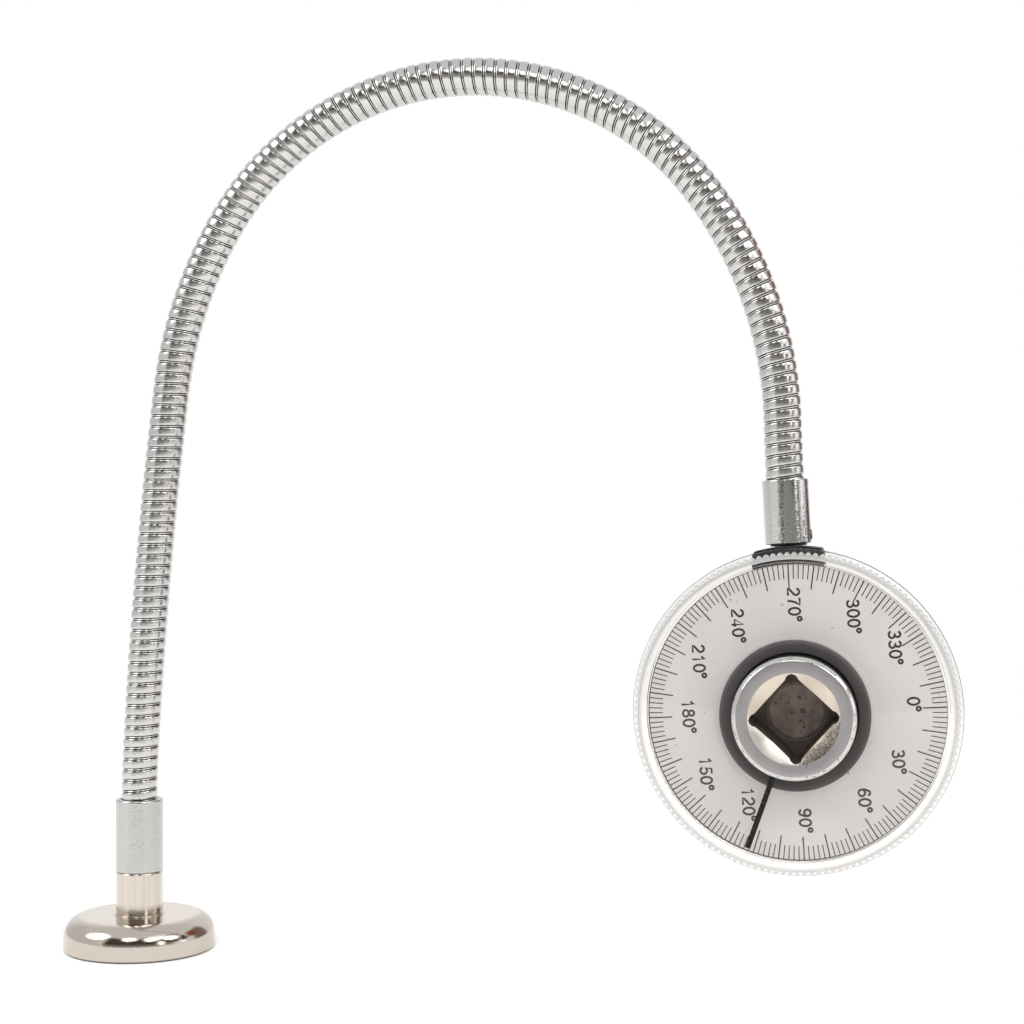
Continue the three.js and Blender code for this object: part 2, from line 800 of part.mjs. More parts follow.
head.add(
  hanger,
  drive,
  piece("rear_housing", rearHousing(), blackPlastic),
  piece("scale_disc", scaleDisc(), scaleMetal),
  piece("knurled_cover", knurledCover(), clearPlastic),
  piece("hub_ring", hubRing(), darkPlastic),
  piece("pointer_bar", pointerBar(), pointerInk),
  piece("friction_ring", frictionRing(), blackRubber),
  piece("spindle_bush", spindleBush(), bronze),
  piece("thrust_washer", thrustWasher(), greySteel),
  piece("rear_washer", rearWasher(), greySteel),
  piece("retaining_ring", retainingRing(), greySteel),
);

const gauge = new THREE.Group();
gauge.add(foot, ...gooseneck(), head);

// Hinge places on the gooseneck's centreline, for whoever bends it
gauge.userData.hinges = hingeTurns.map((turn) => armAt(turn * pitch));

export default gauge;
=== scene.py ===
import json
import math

import bmesh
import bpy
from bpy.props import FloatProperty, FloatVectorProperty, PointerProperty
from mathutils import Matrix, Vector


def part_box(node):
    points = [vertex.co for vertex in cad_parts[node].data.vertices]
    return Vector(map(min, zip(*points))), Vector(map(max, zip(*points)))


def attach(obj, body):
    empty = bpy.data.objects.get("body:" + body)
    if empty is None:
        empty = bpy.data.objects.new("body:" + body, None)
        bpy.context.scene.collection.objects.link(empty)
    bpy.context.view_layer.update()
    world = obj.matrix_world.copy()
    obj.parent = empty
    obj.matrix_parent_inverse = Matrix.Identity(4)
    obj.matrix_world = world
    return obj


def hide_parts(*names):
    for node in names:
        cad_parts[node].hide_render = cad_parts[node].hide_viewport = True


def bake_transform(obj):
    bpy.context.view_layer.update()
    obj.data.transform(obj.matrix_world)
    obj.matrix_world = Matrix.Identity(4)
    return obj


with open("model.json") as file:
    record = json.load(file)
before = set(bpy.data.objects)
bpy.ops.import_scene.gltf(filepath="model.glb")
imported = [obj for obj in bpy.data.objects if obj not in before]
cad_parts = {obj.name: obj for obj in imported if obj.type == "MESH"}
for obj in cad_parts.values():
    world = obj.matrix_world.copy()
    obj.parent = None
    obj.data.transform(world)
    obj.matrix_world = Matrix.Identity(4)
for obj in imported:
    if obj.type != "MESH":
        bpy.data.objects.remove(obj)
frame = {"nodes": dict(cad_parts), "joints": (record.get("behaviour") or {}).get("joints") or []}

bl_info = {
    "name": "Torque angle gauge",
    "version": (1, 0, 0),
    "blender": (4, 5, 0),
    "location": "3D View > Sidebar > Gauge",
    "description": "Models the visible pieces of a torque angle gauge on its packed frame",
    "category": "Object",
}

MM = 0.001
WELD = 0.00001  # points closer than this are one point
OVERRUN = 1 * MM  # how far a cutting body passes the face that it cuts
FULL_TURN = math.tau
SMOOTH_ANGLE = math.radians(35)  # faces that meet at less are shaded as one surface

# Steps round a turned piece, and round a rounded corner
WIDE_STEPS = 144
SMALL_STEPS = 64
EDGE_STEPS = 3
SHOULDER_STEPS = 14
SHOULDER_FROM = 0.7 * MM  # a corner radius over this gets the steps of a shoulder
HOLD = 0.03 * MM  # how far past a rounded corner the flat is held flat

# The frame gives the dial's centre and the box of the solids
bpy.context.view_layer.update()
JOINTS = {joint["name"]: joint for joint in frame["joints"]}
DIAL_CENTRE = Vector(JOINTS["drive_turn"]["pos_m"])

# The gooseneck's route from the lower ferrule: each arc's length in millimetres and bend in degrees
ARM_ARCS = [(9, 3.1), (82, 4), (38.5, 23.8), (123.4, 111.9), (53.4, 35.6), (12.4, -1.6)]
ARM_TURNS = 134
TURNS_IN_FERRULE = 3
ARM_HINGE_TURNS = [8, 25, 42, 59, 75, 92, 109, 126]
ARM_LENGTH = sum(length for length, _ in ARM_ARCS) * MM
PITCH = ARM_LENGTH / ARM_TURNS
FERRULE_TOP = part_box("lower_ferrule")[1].z

# The head leans as the end of the gooseneck does
HEAD_LEAN = math.radians(sum(bend for _, bend in ARM_ARCS) - 180)
HANGER = Matrix.Translation(DIAL_CENTRE) @ Matrix.Rotation(HEAD_LEAN, 4, "Y")
DIAL = HANGER @ Matrix.Rotation(-math.pi / 2, 4, "X")  # +X right, +Y down, +Z to the back
SQUARE_TURN = math.radians(45)  # the drive squares stand on a corner


def linear(code):
    """The linear colour of an sRGB hex code."""
    shares = [int(code[i:i + 2], 16) / 255 for i in (1, 3, 5)]
    return [s / 12.92 if s <= 0.04045 else ((s + 0.055) / 1.055) ** 2.4 for s in shares]


def length(name, description, millimetres):
    return FloatProperty(
        name=name, description=description, default=millimetres * MM, unit="LENGTH", precision=5
    )


def colour(name, description, code):
    return FloatVectorProperty(
        name=name, description=description, default=linear(code), subtype="COLOR", size=3, min=0, max=1
    )


class FootSizes(bpy.types.PropertyGroup):
    shoulder: length("Cup shoulder", "Radius of the cup's rounded shoulder", 4.4)
    cup_wall: length("Cup wall", "Thickness of the cup's wall", 2.7)
    cup_roof: length("Cup roof", "Thickness of the cup's roof", 2.35)
    foot_bevel: length("Foot bevel", "Bevel round the cup's rim", 0.35)
    stud_hole: length("Stud hole", "Radius of the hole for the stud", 2.65)
    post_bevel: length("Post bevel", "Bevel at the top of the post", 0.4)
    ferrule_lip: length("Ferrule lip", "Radius of the rim that the gooseneck leaves", 0.4)
    ferrule_edge: length("Ferrule edge", "Rounding of the ferrules' other rims", 0.25)
    arm_socket: length("Arm socket", "Radius of the hole that holds the gooseneck", 4.175)
    socket_depth: length("Socket depth", "How deep the gooseneck goes into a ferrule", 7.285)


class ArmSizes(bpy.types.PropertyGroup):
    crest: length("Band", "Radius of the wide band's top", 4.02)
    bead: length("Bead", "Radius of the narrow bead's top", 3.9)
    groove: length("Groove", "Radius of the groove between band and bead", 3.475)
    bead_width: length("Bead width", "Width of the round bead along the arm", 0.42)
    groove_width: length("Groove width", "Width of the gap between band and bead", 0.11)
    bend_reach: length("Bend reach", "How far each hinge's bend spreads to each side", 15)
    screw_height: length("Set screw height", "Set screw above the dial's centre", 36.05)
    screw_radius: length("Set screw", "Radius of the set screw", 1)
    screw_play: length("Set screw play", "Gap between the screw and its hole", 0.15)
    screw_proud: length("Set screw proud", "How far the screw stands out of the ferrule", 0.15)
    screw_socket: length("Set screw socket", "Radius of the hexagon in the screw", 0.45)


class DialSizes(bpy.types.PropertyGroup):
    scale_radius: length("Scale", "Radius of the scale", 30.3)
    scale_hole: length("Scale hole", "Radius of the hole in the scale", 14.2)
    scale_front: length("Scale face", "From the arm's plane forward to the scale's face", 9.2)
    scale_sheet: length("Scale sheet", "Thickness of the scale", 0.8)
    tick_outer: length("Tick end", "Radius where the marks end", 30.2)
    tick_long: length("Long tick", "Length of each tenth degree's mark", 4.88)
    tick_short: length("Short tick", "Length of the marks between", 2.95)
    tick_wide: length("Long tick width", "Width of the long marks", 0.27)
    tick_thin: length("Short tick width", "Width of the short marks", 0.21)
    ink: length("Ink", "Height of the print on the scale", 0.02)
    digit_height: length("Digit height", "Height of the numerals", 2.65)
    digit_stroke: length("Digit stroke", "Width of a numeral's stroke", 0.46)
    digit_advance: length("Digit advance", "From one digit's middle to the next", 1.99)
    dome_rise: length("Dome rise", "From the cover's rim to the top of its dome", 4)
    dome_top: length("Dome top", "From the arm's plane forward to the top of the dome", 16.4)
    dome_edge: length("Dome edge", "Radius where the dome ends", 30.55)
    hub_seat: length("Hub seat", "Radius of the recess for the hub ring", 15.25)
    cover_wall: length("Cover wall", "Thickness of the dome", 2)
    knurl_root: length("Knurl root", "Radius of the valleys of the knurl", 32.15)
    knurl_tip: length("Knurl tip", "Radius of the knurl's teeth", 32.85)
    flange: length("Flange", "Radius of the flange behind the knurl", 33.49)
    pointer_width: length("Pointer width", "Width of the pointer", 1.1)
    pointer_thickness: length("Pointer thickness", "Thickness of the pointer", 0.45)
    pointer_tip: length("Pointer tip", "Radius where the pointer ends", 28.9)
    pointer_angle: FloatProperty(
        name="Pointer angle",
        description="Clockwise from the right as the dial is seen",
        default=math.radians(112.6),
        subtype="ANGLE",
    )


class DriveSizes(bpy.types.PropertyGroup):
    collar: length("Collar", "Radius of the collar", 12.4)
    collar_front: length("Collar face", "From the arm's plane forward to the collar's face", 22)
    collar_rear: length("Collar back", "From the arm's plane forward to the collar's back", 4.5)
    collar_bevel: length("Collar bevel", "Bevel round the collar's face", 0.8)
    spindle: length("Spindle", "Radius of the spindle", 8.6)
    spindle_end: length("Spindle end", "From the arm's plane back to the end of the round", 10.7)
    socket: length("Socket", "Width of the socket across its flats", 12.8)
    socket_depth: length("Socket depth", "From the collar's face to the socket's bottom", 16)
    lobe: length("Socket relief", "Radius of the relief in each corner", 1.3)
    lobe_inset: length("Relief inset", "From the sharp corner in to the relief's centre", 1.45)
    square: length("Square", "Width of the male square across its flats", 12.7)
    square_length: length("Square length", "Length of the male square", 15.4)
    countersink: length("Countersink", "Width of the countersink beyond the flats", 2.75)
    countersink_depth: length("Countersink depth", "Depth of the countersink", 1.6)


class Finishes(bpy.types.PropertyGroup):
    nickel: colour("Nickel", "Polished nickel plate", "#DFD5CA")
    chrome: colour("Chrome", "Satin and bright chrome", "#CFCECC")
    steel: colour("Steel", "Plain machined steel", "#8F8D8C")
    socket_steel: colour("Socket steel", "Unplated steel in the socket", "#9C8F87")
    black: colour("Black plastic", "Moulded housing", "#141314")
    hub: colour("Hub ring", "Dark grey plastic", "#575453")
    scale: colour("Scale", "Face of the scale", "#D9D6D6")
    ink: colour("Ink", "Marks and numerals", "#1D1A19")
    pointer: colour("Pointer", "Pointer bar", "#191514")
    clear: colour("Clear cover", "Clear acrylic", "#F8F6F4")


SIZE_GROUPS = {
    "gauge_foot": FootSizes,
    "gauge_arm": ArmSizes,
    "gauge_dial": DialSizes,
    "gauge_drive": DriveSizes,
    "gauge_finish": Finishes,
}


# Materials

MATERIALS = {}
ACRYLIC_IOR = 1.49
MOULDED = {"IOR": 1.53, "Specular_IOR_Level": 0.3}
FINE_LINES = {"stretch": (0.05, 0.05, 1), "detail": 2}  # tool marks that run round a piece
WHITE = (1, 1, 1, 1)


def set_inputs(tree, node, inputs):
    """Gives a node's inputs their plain values, or links from sockets."""
    for key, value in inputs.items():
        if isinstance(value, bpy.types.NodeSocket):
            tree.links.new(value, node.inputs[key])
        else:
            node.inputs[key].default_value = value


def add(tree, kind, settings=None, inputs=None):
    """Adds a node, with its settings, and its inputs as plain values or as links from sockets."""
    node = tree.nodes.new(kind)
    for key, value in (settings or {}).items():
        setattr(node, key, value)
    set_inputs(tree, node, inputs or {})
    return node


def start_material(name):
    """An empty material: its node tree and the Principled shader on its output."""
    material = bpy.data.materials.new(name)
    material.use_nodes = True
    tree = material.node_tree
    tree.nodes.clear()
    shader = add(tree, "ShaderNodeBsdfPrincipled")
    add(tree, "ShaderNodeOutputMaterial", inputs={"Surface": shader.outputs["BSDF"]})
    MATERIALS[name] = material
    return tree, shader


def opaque(rgb):
    return (*rgb, 1)


def painted(code):
    """The opaque colour of an sRGB hex code."""
    return opaque(linear(code))


def shaded(rgb, share):
    """An opaque colour, darker or lighter by a share."""
    return opaque(c * share for c in rgb)


def pattern(tree, spacing, stretch=(1, 1, 1), detail=3, source=None):
    """Noise with a spacing in millimetres. A stretch under 1 draws it out along that axis."""
    if source is None:
        source = add(tree, "ShaderNodeTexCoord").outputs["Object"]
    mapping = add(tree, "ShaderNodeMapping", inputs={"Vector": source, "Scale": stretch})
    inputs = {"Vector": mapping.outputs["Vector"], "Scale": 1 / (spacing * MM), "Detail": detail}
    return add(tree, "ShaderNodeTexNoise", inputs=inputs).outputs["Fac"]


def ranged(tree, value, low, high, to_low=0.0, to_high=1.0):
    inputs = {"Value": value, "From Min": low, "From Max": high, "To Min": to_low, "To Max": to_high}
    return add(tree, "ShaderNodeMapRange", inputs=inputs).outputs["Result"]


def spread(tree, noise, to_low=0.0, to_high=1.0):
    """A value that wanders between two ends with a noise."""
    return ranged(tree, noise, 0.3, 0.7, to_low, to_high)


def maths(tree, operation, *values):
    return add(tree, "ShaderNodeMath", {"operation": operation}, dict(enumerate(values))).outputs[0]


def vector_maths(tree, operation, output, *values):
    node = add(tree, "ShaderNodeVectorMath", {"operation": operation}, dict(enumerate(values)))
    return node.outputs[output]


def either(tree, share, first, second):
    """A surface between two, by a share."""
    return add(tree, "ShaderNodeMixShader", inputs={0: share, 1: first, 2: second}).outputs[0]


def mixed(tree, share, first, second):
    """A colour between two, by a share."""
    node = add(tree, "ShaderNodeMix", {"data_type": "RGBA"}, {0: share, 6: first, 7: second})
    return node.outputs[2]


def bump(tree, height, depth, normal=None):
    """A bump of a depth in millimetres."""
    inputs = {"Height": height, "Distance": depth * MM, "Strength": 1.0}
    if normal is not None:
        inputs["Normal"] = normal
    return add(tree, "ShaderNodeBump", inputs=inputs).outputs["Normal"]


def from_dial_centre(tree):
    place = add(tree, "ShaderNodeTexCoord").outputs["Object"]
    return vector_maths(tree, "SUBTRACT", "Vector", place, DIAL_CENTRE)


def share_along(tree, direction, start, end):
    """A share that rises from 0 to 1 along a direction, in millimetres from the dial's centre."""
    along = vector_maths(tree, "DOT_PRODUCT", "Value", from_dial_centre(tree), direction)
    return ranged(tree, along, start * MM, end * MM)


def share_outside(tree, start, end):
    """A share that rises from 0 to 1 with the distance from the drive's axis, in millimetres."""
    across = vector_maths(tree, "MULTIPLY", "Vector", from_dial_centre(tree), (1, 0, 1))
    distance = vector_maths(tree, "LENGTH", "Value", across)
    return ranged(tree, distance, start * MM, end * MM)


def share_above(tree, start, end):
    """A share that rises from 0 to 1 with the height over the bench, in millimetres."""
    place = add(tree, "ShaderNodeTexCoord").outputs["Object"]
    height = add(tree, "ShaderNodeSeparateXYZ", inputs={0: place}).outputs["Z"]
    return ranged(tree, height, start * MM, end * MM)


def wire(tree, shader, **sockets):
    """Sets a shader's inputs by name, with _ for a space."""
    set_inputs(tree, shader, {name.replace("_", " "): value for name, value in sockets.items()})


def polished_nickel(finish):
    # Nickel plate, buffed. It reflects the room with a warm tint, and the plate's fine grain breaks
    # up the edge of each reflection. The post was turned, so its reflections are smeared upwards.
    for name, line_depth in (("polished_nickel_plate", 0.0015), ("turned_nickel_plate", 0.012)):
        tree, shader = start_material(name)
        haze = pattern(tree, 4)
        grain = pattern(tree, 0.28, detail=2)
        lines = pattern(tree, 0.09, **FINE_LINES)
        base = mixed(tree, haze, opaque(finish.nickel), shaded(finish.nickel, 0.94))
        if name == "turned_nickel_plate":
            # pale and dark stripes along the post are painted reflections
            painted_reflection_streaks = ranged(tree, pattern(tree, 1.1, stretch=(1, 1, 0.02)), 0.35, 0.65)
            base = mixed(tree, painted_reflection_streaks, shaded(finish.nickel, 0.9), shaded(finish.nickel, 0.78))
        else:
            # the cup's shoulder and side are painted darker than its top as painted shade, and a dark band
            # at its foot is a painted contact shadow
            base = mixed(tree, share_above(tree, 7.25, 7.48), shaded(finish.nickel, 0.76), base)
            # painted contact shadow along the cup's foot
            base = mixed(tree, share_above(tree, 0.25, 0.5), painted("#4C4843"), base)
        normal = bump(tree, grain, 0.017)
        wire(
            tree, shader, Metallic=1.0, Base_Color=base,
            Roughness=ranged(tree, haze, 0.35, 0.75, 0.07, 0.13),
            Normal=bump(tree, lines, line_depth, normal=normal),
        )


def satin_chrome(finish):
    # Chrome over turned steel: fine lines round the ferrule smear reflections along it into bright
    # and dark stripes, and grit in the plate breaks up the stripes' edges.
    tree, shader = start_material("satin_chrome_plate")
    lines = pattern(tree, 0.07, **FINE_LINES)
    grit = pattern(tree, 0.3, detail=2)
    pores = ranged(tree, pattern(tree, 0.7), 0.66, 0.72)
    clouds = pattern(tree, 3)
    plate = shaded(finish.chrome, 0.85)
    base = mixed(tree, pores, plate, shaded(finish.chrome, 0.62))
    normal = bump(tree, lines, 0.011)
    wire(
        tree, shader, Metallic=1.0, Base_Color=base,
        Roughness=spread(tree, clouds, 0.14, 0.24),
        Normal=bump(tree, grit, 0.03, normal=normal),
    )


def gritty_chrome(finish):
    # The upper ferrule's chrome over roughly turned steel: grit roughens it, and dark stripes along it are
    # painted into its colour as painted dark reflections.
    tree, shader = start_material("gritty_chrome_with_painted_reflection")
    painted_reflection_streaks = ranged(tree, pattern(tree, 1.4, stretch=(1, 1, 0.03), detail=2), 0.44, 0.56)
    grit = pattern(tree, 0.45)
    gritty = ranged(tree, grit, 0.4, 0.6)
    share = maths(tree, "MULTIPLY", painted_reflection_streaks, gritty)
    # the painted dark reflections fade out towards its left side, so that side is painted pale
    painted_dark_side = share_along(tree, (1, 0, 0), -4.6, -2.6)
    share = maths(tree, "MULTIPLY", share, painted_dark_side)
    # the dark stripes in the colour are painted reflections
    base = mixed(tree, share, opaque(finish.chrome), shaded(finish.chrome, 0.3))
    wire(
        tree, shader, Metallic=1.0, Base_Color=base,
        Roughness=ranged(tree, painted_dark_side, 0.0, 1.0, 0.2, 0.09),
        Normal=bump(tree, grit, 0.04),
    )


def wound_chrome(finish):
    # Chromed spring wire, rolled to a band and a bead and wound tight. Its drawing lines run along
    # the wire, so round the arm, and smear each reflection along the arm into soft stripes.
    tree, shader = start_material("chromed_spring_wire")
    straight = add(tree, "ShaderNodeAttribute", {"attribute_name": "straight"}).outputs["Vector"]
    lines = pattern(tree, 0.1, **FINE_LINES, source=straight)
    scratches = pattern(tree, 0.35, stretch=(1, 1, 0.2), source=straight)
    patches = pattern(tree, 9, source=straight)
    base = mixed(tree, patches, opaque(finish.chrome), shaded(finish.chrome, 0.95))
    normal = bump(tree, lines, 0.02)
    wire(
        tree, shader, Metallic=1.0, Base_Color=base,
        Roughness=spread(tree, patches, 0.12, 0.2),
        Normal=bump(tree, scratches, 0.006, normal=normal),
    )


def wire_bead(finish):
    # The wire's narrow bead, burnished by its neighbours: it flashes each lamp as a short dash.
    tree, shader = start_material("burnished_wire_bead")
    straight = add(tree, "ShaderNodeAttribute", {"attribute_name": "straight"}).outputs["Vector"]
    rubbed_and_painted_highlight = pattern(tree, 2.5, source=straight)
    base = mixed(tree, rubbed_and_painted_highlight, opaque(finish.chrome), shaded(finish.chrome, 0.85))
    wire(tree, shader, Metallic=1.0, Base_Color=base, Roughness=spread(tree, rubbed_and_painted_highlight, 0.04, 0.1))


def groove_shade(finish):
    # The bottom of the grooves, where wire meets wire: dull, and dark with painted shade.
    tree, shader = start_material("painted_shade_wire_groove")
    straight = add(tree, "ShaderNodeAttribute", {"attribute_name": "straight"}).outputs["Vector"]
    shade_mottle = pattern(tree, 1.5, source=straight)
    base = mixed(tree, shade_mottle, painted("#3A3633"), painted("#6B6662"))
    wire(tree, shader, Metallic=0.7, Base_Color=base, Roughness=spread(tree, shade_mottle, 0.35, 0.55))


def blasted_chrome(finish):
    # The collar's face was blasted with beads before it was plated: an even grey satin.
    tree, shader = start_material("bead_blasted_chrome")
    grit = pattern(tree, 0.2, detail=2)
    marks = pattern(tree, 1.1, detail=6)
    marked = ranged(tree, marks, 0.66, 0.7, 0.0, 0.75)
    clouds = pattern(tree, 5)
    # its upper half is painted darker and its lower half lighter, as painted shade and painted light
    painted_shade_upper = mixed(tree, clouds, painted("#949192"), painted("#9E9B9B"))
    painted_light_lower = mixed(tree, clouds, painted("#B2AFB0"), painted("#BCB9B9"))
    base = mixed(tree, share_along(tree, (0, 0, -1), -11, 11), painted_shade_upper, painted_light_lower)
    base = mixed(tree, marked, base, painted("#75706D"))
    wire(
        tree, shader, Metallic=1.0, Base_Color=base,
        Roughness=spread(tree, clouds, 0.42, 0.52),
        Normal=bump(tree, grit, 0.012),
    )


def worn_edge(finish):
    # The collar's bevel and side: bright chrome, nicked by wrenches, with steel in the nicks.
    tree, shader = start_material("nicked_chrome_edge")
    nicks = pattern(tree, 0.55, detail=5)
    nicked = ranged(tree, nicks, 0.62, 0.66)
    base = mixed(tree, nicked, opaque(finish.chrome), painted("#5B5552"))
    wire(
        tree, shader, Metallic=1.0, Base_Color=base,
        Roughness=ranged(tree, nicked, 0.0, 1.0, 0.16, 0.5),
        Normal=bump(tree, nicks, 0.03),
    )


def countersink_plate(finish):
    # The countersink's cone, plated. Its lower left is painted bright as a painted highlight, and its lower
    # right is painted dark and grainy as painted shade.
    tree, shader = start_material("plated_countersink")
    grain = pattern(tree, 0.35)
    clouds = pattern(tree, 5, detail=1)
    rubbed_and_painted_highlight = share_along(tree, (-0.707, 0, -0.707), 5.5, 7)
    painted_shade_lower_right = share_along(tree, (0.707, 0, -0.707), 5.5, 7)
    base = mixed(tree, clouds, painted("#DFD5C7"), painted("#BFB2A1"))
    # painted highlight on the lower left
    base = mixed(tree, rubbed_and_painted_highlight, base, painted("#FFFBF2"))
    specked = ranged(tree, grain, 0.42, 0.58, 0.35, 1.0)
    # painted shade, grainy, on the lower right
    painted_shade_specks = maths(tree, "MULTIPLY", painted_shade_lower_right, specked)
    base = mixed(tree, painted_shade_specks, base, painted("#7D736A"))
    wire(
        tree, shader, Metallic=1.0, Base_Color=base,
        Roughness=ranged(tree, clouds, 0.4, 0.6, 0.28, 0.4),
        Normal=bump(tree, grain, 0.04),
    )


def socket_steel(finish):
    # Bare steel in the bottom of the socket: brown-grey, rough from the broach, with darker spots.
    tree, shader = start_material("broached_steel")
    cloud = pattern(tree, 3, detail=6)
    spots = pattern(tree, 1.3, detail=2)
    spotted = ranged(tree, spots, 0.6, 0.7, 0.0, 0.8)
    rgb = finish.socket_steel
    mottled = spread(tree, cloud)
    base = mixed(tree, mottled, shaded(rgb, 0.5), opaque(min(c * 1.6, 1) for c in rgb))
    base = mixed(tree, spotted, base, painted("#4A423C"))
    # the walls and corners are painted darker than the drilled bottom, as painted shade in the socket
    wall_shade_mottle = spread(tree, cloud, 0.75, 1.0)
    darker = maths(tree, "MULTIPLY", share_outside(tree, 5.2, 6.2), wall_shade_mottle)
    base = mixed(tree, darker, base, shaded(rgb, 0.4))
    wire(
        tree, shader, Metallic=0.55, Base_Color=base,
        Roughness=spread(tree, cloud, 0.45, 0.7),
        Normal=bump(tree, cloud, 0.08),
    )


def machined_steel(finish):
    # Plain turned steel, dull grey, with fine tool marks.
    tree, shader = start_material("turned_steel")
    marks = pattern(tree, 0.25, stretch=(1, 0.15, 1))
    base = mixed(tree, marks, opaque(finish.steel), shaded(finish.steel, 0.75))
    wire(
        tree, shader, Metallic=1.0, Base_Color=base,
        Roughness=spread(tree, marks, 0.28, 0.42),
        Normal=bump(tree, marks, 0.006),
    )


def moulded_black(finish):
    # Glass-filled nylon, moulded black, with a fine spark-eroded grain that spreads its shine.
    tree, shader = start_material("moulded_black_nylon")
    grain = pattern(tree, 0.35)
    wear = pattern(tree, 8, detail=4)
    base = mixed(tree, wear, opaque(finish.black), shaded(finish.black, 1.5))
    wire(
        tree, shader, Base_Color=base, **MOULDED,
        Roughness=spread(tree, wear, 0.36, 0.5),
        Normal=bump(tree, grain, 0.02),
    )


def moulded_grey(finish):
    # Dark grey ABS of the hub ring, satin, faintly clouded by handling.
    tree, shader = start_material("moulded_dark_abs")
    clouds = pattern(tree, 3.5, detail=4)
    grain = pattern(tree, 0.4, detail=2)
    base = mixed(tree, clouds, shaded(finish.hub, 0.85), shaded(finish.hub, 1.2))
    wire(
        tree, shader, Base_Color=base, **MOULDED,
        Roughness=spread(tree, clouds, 0.45, 0.6),
        Normal=bump(tree, grain, 0.008),
    )


def scale_face(finish):
    # Aluminium sheet with a pale satin lacquer: flat and soft, with a dust speck here and there.
    tree, shader = start_material("lacquered_aluminium")
    clouds = pattern(tree, 14, detail=2)
    specks = pattern(tree, 0.8, detail=1)
    specked = ranged(tree, specks, 0.77, 0.79, 0.0, 0.8)
    rgb = finish.scale
    base = mixed(tree, clouds, opaque(rgb), shaded(rgb, 0.95))
    base = mixed(tree, specked, base, painted("#8A8480"))
    wire(tree, shader, Base_Color=base, Metallic=0.15, Roughness=spread(tree, clouds, 0.42, 0.5))


def printed_ink(finish):
    # Screen-printed ink, black-brown, slightly uneven.
    tree, shader = start_material("screen_printed_ink")
    cover = pattern(tree, 0.3, detail=2)
    base = mixed(tree, cover, opaque(finish.ink), shaded(finish.ink, 1.6))
    wire(tree, shader, Base_Color=base, Roughness=0.5)


def pointer_black(finish):
    # Gloss black acrylic strip.
    tree, shader = start_material("black_acrylic_strip")
    dust = pattern(tree, 0.6, detail=2)
    base = mixed(tree, dust, opaque(finish.pointer), shaded(finish.pointer, 1.5))
    wire(
        tree, shader, Base_Color=base, IOR=ACRYLIC_IOR, Specular_IOR_Level=0.2,
        Roughness=spread(tree, dust, 0.2, 0.32),
    )


def clear_acrylic(finish):
    # Acrylic. Over the dial it is an even sheet that bends no light that matters, so it shows only
    # its outer gloss. The rim refracts, and the knurl keeps the mould's fine grain and looks milky.
    # Lamps and soft light fall straight through them all on to the scale.
    for name, ior, roughness, clearness, gloss, tint in (
        ("clear_acrylic_sheet", 1.01, 0.0, 1.0, 1.0, finish.clear),
        ("clear_acrylic_rim", ACRYLIC_IOR, 0.02, 1.0, 0.0, finish.clear),
        ("grained_acrylic_knurl", ACRYLIC_IOR, 0.26, 0.24, 0.0, finish.clear),
        ("clear_acrylic_underside", 1.0, 0.0, 1.0, 0.0, (1, 1, 1)),
    ):
        tree, shader = start_material(name)
        wire(
            tree, shader, Base_Color=opaque(tint), IOR=ior, Roughness=roughness,
            Transmission_Weight=clearness, Coat_Weight=gloss, Coat_IOR=ACRYLIC_IOR, Coat_Roughness=0.02,
        )
        path = add(tree, "ShaderNodeLightPath").outputs
        through = maths(tree, "MAXIMUM", path["Is Shadow Ray"], path["Is Diffuse Ray"])
        unbent = add(tree, "ShaderNodeBsdfTransparent", inputs={"Color": opaque(tint)})
        surface = either(tree, through, shader.outputs["BSDF"], unbent.outputs["BSDF"])
        output = next(node for node in tree.nodes if node.type == "OUTPUT_MATERIAL")
        tree.links.new(surface, output.inputs["Surface"])


def plain_finishes():
    """Finishes of pieces that show little: name, hex colour, metallic, roughness, grain in millimetres."""
    for name, code, metallic, roughness, spacing in (
        ("sintered_magnet", "#35322F", 0.3, 0.55, 0.5),
        ("poured_resin", "#6F6A62", 0.0, 0.5, 2.0),
        ("nitrile_rubber", "#202020", 0.0, 0.75, 0.8),
        ("sintered_bronze", "#A97C45", 1.0, 0.4, 0.4),
        ("bright_steel_ball", "#B9B7B6", 1.0, 0.12, 3.0),
    ):
        # each is as it comes from its mould or press: one colour, broken by a fine grain
        tree, shader = start_material(name)
        grain = pattern(tree, spacing)
        base = mixed(tree, grain, painted(code), shaded(linear(code), 0.8))
        wire(
            tree, shader, Base_Color=base, Metallic=metallic,
            Roughness=spread(tree, grain, roughness * 0.85, roughness * 1.15),
            Normal=bump(tree, grain, 0.004),
        )


# Shapes

def bevelled(shape, geom, offset, segments=2, affect="EDGES"):
    bmesh.ops.bevel(
        shape, geom=geom, offset=offset, offset_type="OFFSET", affect=affect, segments=segments,
        profile=0.5, material=-1,
    )


def sharp_edges(shape):
    return [edge for edge in shape.edges if edge.calc_face_angle(0) > SMOOTH_ANGLE]


def spin(shape, geom, steps, angle=FULL_TURN, rise=0.0, merge=False, copies=False):
    """Sweeps a part of a shape round Z, or copies it round."""
    bmesh.ops.spin(
        shape, geom=geom, cent=(0, 0, 0), axis=(0, 0, 1), dvec=(0, 0, rise), angle=angle, steps=steps,
        use_merge=merge, use_duplicate=copies,
    )


def everything(shape):
    return shape.verts[:] + shape.edges[:] + shape.faces[:]


def fill_holes(shape):
    bmesh.ops.holes_fill(shape, edges=[edge for edge in shape.edges if edge.is_boundary], sides=0)


def sealed(shape, distance=WELD):
    """Joins the points that lie together, and turns the faces outwards."""
    bmesh.ops.remove_doubles(shape, verts=shape.verts, dist=distance)
    bmesh.ops.recalc_face_normals(shape, faces=shape.faces)
    return shape


